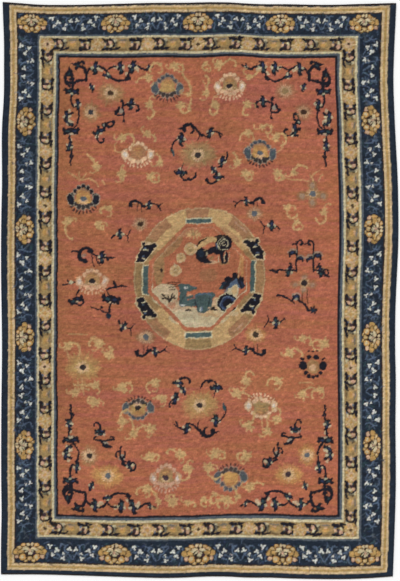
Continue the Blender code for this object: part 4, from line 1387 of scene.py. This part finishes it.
stroke(FLAT, curl(-1.4, 20.6, 64, 5.4, -10), (0.3, 0.5, 0.3), BROWN)
for radius, first, sweep in ((3.0, 100, 200), (1.9, -60, 250), (0.9, 60, 260)):
    start = math.radians(first)
    x, y = 11.2 + radius * math.cos(start), 21.2 + radius * math.sin(start)
    path = curl(x, y, first + 90, math.radians(sweep) * radius, math.degrees(1 / radius))
    stroke(FLAT, path, (0.14, 0.22, 0.14), CREAM, 0.85)
for x, y, turn, length in ((11.4, 12.8, 86, 4.4), (9.0, 12.8, 96, 2.6), (13.4, 13.4, 84, 3.4)):
    stem(FLAT, x, y, turn, length, 0, CREAM, (0.14, 0.2, 0.12), strength=0.8)


def straw_blossom(spot, radius):
    """A pale ring with a gold middle."""
    dab(spot, 0, 0, radius, radius * 0.95, SAND, strength=0.8)
    for turn, x, y in around(range(0, 360, 60), radius * 0.62, radius * 0.6):
        dab(spot, x, y, radius * 0.34, radius * 0.26, STRAW, turn, 0.8)
    dab(spot, 0, 0, radius * 0.45, radius * 0.4, KHAKI, strength=0.85)
    stem(spot, -0.3 * radius, 0, 60, radius * 0.7, -60, SAND, (0.12, 0.2, 0.1), strength=0.7)


for x, y, radius in ((-4.2, 19.4, 3.0), (-8.8, 15.2, 2.4), (-11.0, 9.2, 2.8)):
    straw_blossom(Spot(x, y), radius)
stem(FLAT, -11.4, 11.2, 80, 1.8, 20, SAND, (0.5, 0.3, 0.1))
for turn, x, y in around(range(0, 360, 30), 2.6, 1.2):
    dab(FLAT, -2.9 + x, 25.9 + y, 1.2, 0.35, STRAW, turn, 0.8)
dab(FLAT, -2.9, 25.9, 1.0, 0.7, KHAKI)
dab(FLAT, -17.4, 9.2, 0.7, 1.0, BLACK)
print("landscape and two lion dogs worked")

# %% [markdown]
# ## Wear and a painted gradient of light
# Hand-spun yarn takes dye unevenly, so each knot differs a little from the next, each row a little more,
# and whole areas by a few parts in a hundred. The right and the lower side are painted a little lighter, as
# a painted gradient of light, and foot traffic greys the middle of the rug.

# %% Age the chart
# How much lighter the wool is painted at the right and the lower side, as a painted gradient of light, and
# darker in the roundel and all over, as powers of e
PAINTED_LIGHT_RIGHT, PAINTED_LIGHT_DOWN, ROUNDEL_DARKER, ALL_DARKER = 0.05, 0.04, 0.09, 0.06


def age():
    """Multiplies the dyes by random values for knots, rows and areas and by a painted gradient of light,
    lighter to the right and the bottom, and greys the middle a little.
    """
    random = np.random.default_rng(7)
    knots = 0.12 * random.normal(size=(ROWS, COLUMNS)) + 0.13 * haze(13, 380, 130)
    rows = 0.035 * random.normal(size=(ROWS, 1))
    areas = 0.03 * haze(11, 120, 6) + 0.035 * haze(12, 22, 14)
    x, y = PLAN_X[None, :], PLAN_Y[:, None]
    roundel = np.exp(-((x - ROUNDEL.x) / 31) ** 4 - ((y - ROUNDEL.y) / 34) ** 4)
    # Painted light: the wool grows lighter towards the right and the bottom
    painted_light_and_tone = PAINTED_LIGHT_RIGHT * x / 90 - PAINTED_LIGHT_DOWN * y / 130 - ROUNDEL_DARKER * roundel - ALL_DARKER
    chart[:] *= np.exp(knots + rows + areas + painted_light_and_tone)[..., None]
    chart[:] *= np.exp(0.04 * random.normal(size=(ROWS, COLUMNS, 3)))
    grey = chart.mean(-1, keepdims=True)
    middle = np.exp(-(PLAN_X[None, :] / 45) ** 2 - (PLAN_Y[:, None] / 75) ** 2)[..., None]
    chart[:] += (grey - chart) * (0.02 + 0.03 * middle)
    np.clip(chart, 0.004, 0.9, out=chart)


age()
print("chart from", chart.min().round(3), "to", chart.max().round(3))

# %% [markdown]
# ## Relief of the pile
# The pile follows the slab: level with slow ripples, rounded down to the bindings. Dark brown dye
# holds iron and eats the wool, so dark knots stand lower, and shears cut a groove where two colours
# meet. Both are well under a millimetre, and the slanting light shows them as soft edges.

# %% Heights of the knots
PILE_AT_EDGE, PILE_ROUNDING, RIPPLE = 0.0066, 0.0060, 0.0006
DARK_SINKS, GROOVE, KNOT_NOISE = 0.0005, 0.0005, 0.00012


def pile_heights():
    """The slab's own height, less the sunk dark knots and the grooves, then rounded at the edges."""
    x, y = PLAN_X[None, :] * CM, PLAN_Y[:, None] * CM
    z = PILE_TOP + RIPPLE * (np.sin(3.1 * x + 1.7 * y) + np.sin(5.3 * y - 2.2 * x + 1.0)) / 2
    light = chart @ np.array([0.3, 0.5, 0.2])
    up, side = np.gradient(np.sqrt(light))
    edges = np.clip(np.hypot(up, side) / 0.16, 0, 1)
    dark = np.clip((0.10 - light) / 0.08, 0, 1)
    random = np.random.default_rng(5)
    z = z - DARK_SINKS * dark - GROOVE * edges + KNOT_NOISE * random.normal(size=z.shape)
    in_x = np.minimum(PLAN_X - PLAN_X[0], PLAN_X[-1] - PLAN_X)[None, :] * CM
    in_y = np.minimum(PLAN_Y - PLAN_Y[0], PLAN_Y[-1] - PLAN_Y)[:, None] * CM
    inside = np.clip(np.minimum(in_x, in_y) / PILE_ROUNDING, 0, 1)
    return PILE_AT_EDGE + (z - PILE_AT_EDGE) * np.sqrt(1 - (1 - inside) ** 2)


knot_x, knot_y = lie(PLAN_X[None, :] * CM, PLAN_Y[:, None] * CM)
knot_z = pile_heights()
print("pile from", knot_z.min().round(4), "to", knot_z.max().round(4), "m")

# %% [markdown]
# ## Surfaces from whole arrays
# A grid of points becomes a mesh with a few calls. Each mesh carries its wool colours on its
# points, one UV map that counts knots, and a second one, named OFBake, that folds a long strip into
# three so that it fills a square picture.

# %% A woven surface
def grid_faces(rows, columns, upwards=True):
    """The four corners of each square of a grid, counter-clockwise from above, or from below."""
    first = (np.arange(rows - 1)[:, None] * columns + np.arange(columns - 1)[None, :]).reshape(-1)
    corners = (0, 1, columns + 1, columns) if upwards else (0, columns, columns + 1, 1)
    return first[:, None] + np.array(corners)


def new_mesh(name, points, faces):
    """A mesh from arrays of points and four-cornered faces."""
    mesh = bpy.data.meshes.new(name)
    mesh.vertices.add(len(points))
    mesh.vertices.foreach_set("co", points.astype(np.float32).reshape(-1))
    mesh.loops.add(faces.size)
    mesh.loops.foreach_set("vertex_index", faces.astype(np.int32).reshape(-1))
    mesh.polygons.add(len(faces))
    mesh.polygons.foreach_set("loop_start", np.arange(0, faces.size, 4, dtype=np.int32))
    mesh.update(calc_edges=True)
    mesh.shade_smooth()
    return mesh


def add_map(mesh, name, corners):
    """A UV map from one pair for each face corner."""
    layer = mesh.uv_layers.new(name=name)
    layer.data.foreach_set("uv", corners.astype(np.float32).reshape(-1))


def surface_normals(x, y, z):
    """The cross product of the grid's two slopes, upwards, made one long."""
    along = np.stack([np.gradient(v, axis=0) for v in (x, y, z)], -1)
    across = np.stack([np.gradient(v, axis=1) for v in (x, y, z)], -1)
    up = np.cross(across, along)
    return up / np.linalg.norm(up, axis=-1, keepdims=True)


FOLDS = 3


def woven(name, x, y, z, colours, normals, knots_u, knots_v, upwards=True):
    """A mesh object from grids of places, colours and normals."""
    rows, columns = z.shape
    faces = grid_faces(rows, columns, upwards)
    mesh = new_mesh(name, np.stack([x, y, z], -1).reshape(-1, 3), faces)
    dyes = mesh.attributes.new("dye", "FLOAT_COLOR", "POINT")
    opaque = np.concatenate([colours, np.ones((rows, columns, 1))], -1)
    dyes.data.foreach_set("color", opaque.astype(np.float32).reshape(-1))
    u = np.broadcast_to(knots_u, z.shape).reshape(-1)
    v = np.broadcast_to(knots_v[:, None], z.shape).reshape(-1)
    add_map(mesh, "knots", np.stack([u, v], -1)[faces])
    fold = np.minimum(faces.min(1) // columns * FOLDS // (rows - 1), FOLDS - 1)[:, None]
    across = (faces % columns) / (columns - 1)
    along = (faces // columns) / (rows - 1) * FOLDS - fold
    add_map(mesh, "OFBake", np.stack([(fold + 0.01 + 0.98 * across) / FOLDS, 0.005 + 0.99 * along], -1))
    mesh.normals_split_custom_set_from_vertices(normals.reshape(-1, 3))
    piece = bpy.data.objects.new(name, mesh)
    bpy.context.scene.collection.objects.link(piece)
    return piece


# %% Tie the knots: four strips of pile
STRIPS = 4
normals = surface_normals(knot_x, knot_y, knot_z)
per_strip = (COLUMNS - 1) // STRIPS
strips = []
for n in range(STRIPS):
    part = slice(n * per_strip, (n + 1) * per_strip + 1)
    strips.append(woven(
        f"pile_strip_{n + 1}", knot_x[:, part], knot_y[:, part], knot_z[:, part], chart[:, part],
        normals[:, part], np.arange(COLUMNS)[part], np.arange(ROWS)
    ))
print(STRIPS, "strips of", 2 * (ROWS - 1) * per_strip, "triangles each")

# %% [markdown]
# ## The back
# The same knots show on the back as small flat loops, in colours that no light has faded, between
# lines of cotton weft. It lies just above the floor and faces down.

# %% Weave the back
BACK_HEIGHT = 0.0004
RICHER, DARKER = 1.25, 0.8
back_x, back_y = knot_x[::2, ::2], knot_y[::2, ::2]
back_dyes = chart[::2, ::2]
back_grey = back_dyes.mean(-1, keepdims=True)
back_dyes = np.clip(back_grey + (back_dyes - back_grey) * RICHER, 0.01, 0.9) * DARKER
back_z = np.full(back_x.shape, BACK_HEIGHT)
back = woven(
    "back", back_x, back_y, back_z, back_dyes, -surface_normals(back_x, back_y, back_z),
    np.arange(COLUMNS)[::2], np.arange(ROWS)[::2], upwards=False
)
print("back:", len(back.data.polygons) * 2, "triangles")

# %% [markdown]
# ## The wrapped edges
# A yarn is wrapped round the outermost warps on the long sides and round the ends. Each edge is a
# tube, flat on the floor and round above, that follows the uneven outline. The wraps swell and
# thin, and the bump of the material gives the single turns.

# %% Wrap the edges
BINDING_HEIGHT = 0.0068
TUCK = 0.0009
WRAP_STEP = 0.0030
SIDE_CUTS, END_CUTS = 900, 620


def tube_section(width):
    """The tube cut across, in rows: the way in from the outer edge, height. It tucks under the pile."""
    turn = np.linspace(0, np.pi, 9)
    inwards = (width + TUCK) / 2 * (1 - np.cos(turn))
    up = BINDING_HEIGHT * (0.36 + 0.64 * np.sin(turn))
    foot = [[width * 0.95, 0.0], [width * 0.5, 0.0], [width * 0.08, 0.0]]
    return np.concatenate([np.stack([inwards, up], 1), foot])


def wrap(name, width, x, y, inward, seed):
    """The section swept along an edge. x and y are the edge's stations on the straight plan."""
    section = tube_section(width)
    count, around = len(x), len(section)
    random = np.random.default_rng(seed)
    lumps = 1 + 0.05 * random.normal(size=count)
    lumps[[0, -1]] = 0.45
    middle = (width + TUCK) / 2
    deep = middle + (section[None, :, 0] - middle) * np.minimum(lumps, 1.0)[:, None]
    high = section[None, :, 1] * (0.93 + 0.07 * lumps[:, None])
    px, py = lie(x[:, None] + inward[0] * deep, y[:, None] + inward[1] * deep)
    points = np.stack([px, py, high], -1).reshape(-1, 3)
    n, k = np.meshgrid(np.arange(count - 1), np.arange(around), indexing="ij")
    a, b = n * around + k, n * around + (k + 1) % around
    faces = np.stack([a, b, b + around, a + around], -1).reshape(-1, 4)
    mesh = new_mesh(name, points, faces)
    along = np.hypot(x - x[0], y - y[0]) / WRAP_STEP
    at = np.stack([n, n, n + 1, n + 1], -1).reshape(-1, 4)
    round_at = np.stack([k, k + 1, k + 1, k], -1).reshape(-1, 4)
    add_map(mesh, "knots", np.stack([round_at / around, along[at]], -1))
    piece = bpy.data.objects.new(name, mesh)
    bpy.context.scene.collection.objects.link(piece)
    return piece


def close_ends(piece, around):
    """Caps the tube's two open ends and turns every face outwards."""
    shape = bmesh.new()
    shape.from_mesh(piece.data)
    shape.verts.ensure_lookup_table()
    count = len(shape.verts)
    shape.faces.new([shape.verts[k] for k in range(around)])
    shape.faces.new([shape.verts[count - 1 - k] for k in range(around)])
    bmesh.ops.recalc_face_normals(shape, faces=shape.faces)
    for face in shape.faces:
        face.smooth = True
    shape.to_mesh(piece.data)
    shape.free()


SIDE_STATIONS = np.linspace(-HALF_LENGTH, HALF_LENGTH, SIDE_CUTS)
END_STATIONS = np.linspace(-HALF_WIDTH + SIDE_BINDING + GAP, HALF_WIDTH - SIDE_BINDING - GAP, END_CUTS)
side = np.full(len(SIDE_STATIONS), HALF_WIDTH)
end = np.full(len(END_STATIONS), HALF_LENGTH)
# Each: name, the node's width, x and y of the edge's stations, the unit step inwards, seed
wraps = [
    wrap("wrap_left", SIDE_BINDING, -side, SIDE_STATIONS, (1, 0), 21),
    wrap("wrap_right", SIDE_BINDING, side, SIDE_STATIONS, (-1, 0), 22),
    wrap("wrap_top", TOP_BINDING, END_STATIONS, end, (0, -1), 23),
    wrap("wrap_bottom", BOTTOM_BINDING, END_STATIONS, -end, (0, 1), 24),
]
for piece in wraps:
    close_ends(piece, len(tube_section(SIDE_BINDING)))
print("wrapped edges:", sum(2 * len(p.data.polygons) for p in wraps), "triangles")

# %% [markdown]
# ## Wool
# Cut pile scatters light in its fibres, so it is matt with almost no gloss. The shader takes its
# colour from the knots and adds a fine speckle of fibres. A bump of small domes, one for each knot,
# gives the tufts. Values are wrapped in a small class, so the maths reads as maths.

# %% Shader arithmetic
class Value:
    """A socket that holds one number. Sums and products of values add Math nodes."""

    def __init__(self, graph, socket):
        self.graph, self.socket = graph, socket

    def math(self, operation, *others):
        """The result of a Math node, whose other inputs are values or numbers."""
        sockets = [getattr(v, "socket", v) for v in (self, *others)]
        made = self.graph.node("ShaderNodeMath", {"operation": operation}, sockets)
        return Value(self.graph, made.outputs[0])

    def wave(self):
        """1 at every whole number and 0 halfway between two: a cosine without its sign."""
        return (self * math.pi).math("COSINE").math("ABSOLUTE")

    def __add__(self, other):
        return self.math("ADD", other)

    __radd__ = __add__

    def __mul__(self, other):
        return self.math("MULTIPLY", other)

    __rmul__ = __mul__

    def __sub__(self, other):
        return self.math("SUBTRACT", other)

    def __rsub__(self, other):
        return (self * -1.0).math("ADD", other)


class Graph:
    """The node tree of one material."""

    def __init__(self, name):
        self.material = bpy.data.materials.new(name)
        self.material.use_nodes = True
        self.tree = self.material.node_tree
        self.shader = self.tree.nodes["Principled BSDF"]

    def node(self, kind, settings=None, inputs=()):
        """Adds a node. inputs is a list in socket order or a dict by name, each a link or a plain value."""
        made = self.tree.nodes.new(kind)
        for key, value in (settings or {}).items():
            setattr(made, key, value)
        pairs = inputs.items() if isinstance(inputs, dict) else enumerate(inputs)
        for key, value in pairs:
            self.feed(made.inputs[key], value)
        return made

    def feed(self, socket, value):
        """Links a value or another node's socket to a socket, or sets a plain number or colour."""
        value = getattr(value, "socket", value)
        if isinstance(value, bpy.types.NodeSocket):
            self.tree.links.new(value, socket)
        else:
            socket.default_value = value

    def noise(self, scale, detail=2.0, where=None):
        """Random values from 0 to 1 over the piece, scale of them to a metre."""
        where = where or self.node("ShaderNodeTexCoord").outputs["Object"]
        made = self.node("ShaderNodeTexNoise", {}, {"Vector": where, "Scale": scale, "Detail": detail})
        return Value(self, made.outputs[0])

    def knots(self):
        """The two counts of the knots' UV map."""
        place = self.node("ShaderNodeUVMap", {"uv_map": "knots"}).outputs[0]
        parts = self.node("ShaderNodeSeparateXYZ", {}, [place])
        return Value(self, parts.outputs[0]), Value(self, parts.outputs[1])

    def shade(self, colour, factor):
        """A colour times a value."""
        grey = self.node("ShaderNodeCombineXYZ", {}, [factor, factor, factor]).outputs[0]
        return self.node("ShaderNodeVectorMath", {"operation": "MULTIPLY"}, [colour, grey]).outputs[0]

    def bump(self, height, distance):
        """Bumps the surface. Distance, in metres, is what a height of 1 stands for."""
        made = self.node("ShaderNodeBump", {}, {"Distance": distance, "Height": height})
        self.feed(self.shader.inputs["Normal"], made.outputs[0])

    def finish(self, colour, roughness, sheen):
        """Feeds the colour and sets the rest of the shader. Gives the material."""
        self.feed(self.shader.inputs["Base Color"], colour)
        self.shader.inputs["Roughness"].default_value = roughness
        self.shader.inputs["Specular IOR Level"].default_value = 0.12
        self.shader.inputs["Sheen Weight"].default_value = sheen
        self.shader.inputs["Sheen Roughness"].default_value = 0.5
        return self.material


# %% Three wool materials
def pile_material():
    """Tufts: a dome for each knot, pushed about a little, under a speckle of cut fibres, with painted shade
    between the tufts.
    """
    graph = Graph("pile_wool")
    u, v = graph.knots()
    drift = (graph.noise(160.0) - 0.5) * 0.7
    domes = (u + drift).wave() * (v - drift).wave()
    fibres = graph.noise(1500.0, 3.0)
    graph.bump(domes.math("POWER", 0.6) * 0.7 + fibres * 0.5, 0.0009)
    dyes = graph.node("ShaderNodeAttribute", {"attribute_name": "dye"}).outputs["Color"]
    # Painted shade and light: the colour is darker between the tufts and lighter on their tops
    return graph.finish(graph.shade(dyes, 0.90 + fibres * 0.12 + domes * 0.08), 0.95, 0.04)


def back_material():
    """Flat loops in pairs, and a pale cotton weft between the rows."""
    graph = Graph("back_weave")
    u, v = graph.knots()
    loops = (u * math.pi * 2).math("SINE").math("ABSOLUTE")
    rows = v.wave()
    weft = rows.math("LESS_THAN", 0.28)
    dyes = graph.node("ShaderNodeAttribute", {"attribute_name": "dye"}).outputs["Color"]
    mixed = graph.node("ShaderNodeMix", {"data_type": "RGBA"})
    graph.feed(mixed.inputs[0], weft * 0.55)
    # Painted shade: the loops' colour is darker in the dips between them and lighter on their crests
    graph.feed(mixed.inputs[6], graph.shade(dyes, 0.8 + loops * 0.2))
    mixed.inputs[7].default_value = (*dye(196, 184, 160), 1.0)
    graph.bump(loops * 0.4 + rows * 0.8, 0.0008)
    return graph.finish(mixed.outputs[2], 0.9, 0.02)


def wrapped_material(name, colour):
    """Turns of yarn side by side, a little slanted, some darker than others, with painted shade in the
    grooves between turns.
    """
    graph = Graph(name)
    u, v = graph.knots()
    turns = (v + u * 0.8).wave()
    fibres = graph.noise(1200.0, 3.0)
    patches = graph.noise(38.0, 2.0)
    graph.bump(turns.math("POWER", 0.5) + fibres * 0.35, 0.0009)
    base = graph.node("ShaderNodeRGB").outputs[0]
    base.default_value = (*colour, 1.0)
    # Painted shade: each turn of yarn is darker in the groove beside it. The noise patches are the wool's
    # own uneven tone
    share = 0.35 + turns * 0.3 + fibres * 0.3 + patches * 0.75
    return graph.finish(graph.shade(base, share), 0.92, 0.04)


pile_wool, back_weave = pile_material(), back_material()
navy_wrap, brown_wrap = wrapped_material("selvedge_wool", NAVY), wrapped_material("end_wool", BLACK)
for piece in strips:
    piece.data.materials.append(pile_wool)
back.data.materials.append(back_weave)
for piece, wool in zip(wraps, (navy_wrap, navy_wrap, brown_wrap, brown_wrap)):
    piece.data.materials.append(wool)
print("materials:", ", ".join(m.name for m in (pile_wool, back_weave, navy_wrap, brown_wrap)))

# %% [markdown]
# ## Floor and light
# A sky of even white light shows each dye as it is. A broad lamp from the upper left adds the
# direction that the relief needs, and the floor is near white, as in the photograph.

# %% Set the floor and the light
FLOOR_HALF, FLOOR_DROP = 30, 0.0003
SKY, LAMP_SHARE = 0.62, 0.40
LAMP_SIZE, LAMP_FORWARD, LAMP_ASIDE = math.radians(18), math.radians(34), math.radians(28)

floor_mesh = bpy.data.meshes.new("floor")
floor_corners = [(x * FLOOR_HALF, y * FLOOR_HALF, 0) for x, y in ((-1, -1), (1, -1), (1, 1), (-1, 1))]
floor_mesh.from_pydata(floor_corners, [], [(0, 1, 2, 3)])
floor = bpy.data.objects.new("floor", floor_mesh)
floor.location.z = -FLOOR_DROP
bpy.context.scene.collection.objects.link(floor)
paper = Graph("floor_paper")
floor_mesh.materials.append(paper.finish((0.97, 0.97, 0.965, 1.0), 0.9, 0.0))

world = bpy.data.worlds.new("studio")
world.use_nodes = True
world.node_tree.nodes["Background"].inputs["Color"].default_value = (1.0, 1.0, 1.0, 1.0)
world.node_tree.nodes["Background"].inputs["Strength"].default_value = SKY
bpy.context.scene.world = world

lamp = bpy.data.objects.new("lamp", bpy.data.lights.new("lamp", "SUN"))
lamp.data.angle = LAMP_SIZE
lamp.rotation_euler = (-LAMP_FORWARD, -LAMP_ASIDE, 0.0)
lamp.data.energy = LAMP_SHARE * math.pi / (math.cos(LAMP_FORWARD) * math.cos(LAMP_ASIDE))
bpy.context.scene.collection.objects.link(lamp)
bpy.context.scene.view_settings.view_transform = "Standard"
print("sky", SKY, "and lamp", LAMP_SHARE)

# %% [markdown]
# ## Attach the pieces
# Every piece rides on the model's one body, and the solids that it stands for are hidden. The rug is one
# sheet.

# %% Register the pieces
for piece in strips + [back]:
    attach(piece, "root")
    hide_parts("rug_pile")
# Columns: node and slot of each wrapped edge, in the order of the list above
WRAP_NODES = (
    ("selvedge_left", "selvedge_wool"), ("selvedge_right", "selvedge_wool"),
    ("end_binding_top", "end_wool"), ("end_binding_bottom", "end_wool"),
)
for piece, (node, wool_slot) in zip(wraps, WRAP_NODES):
    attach(piece, "root")
    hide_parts(node)
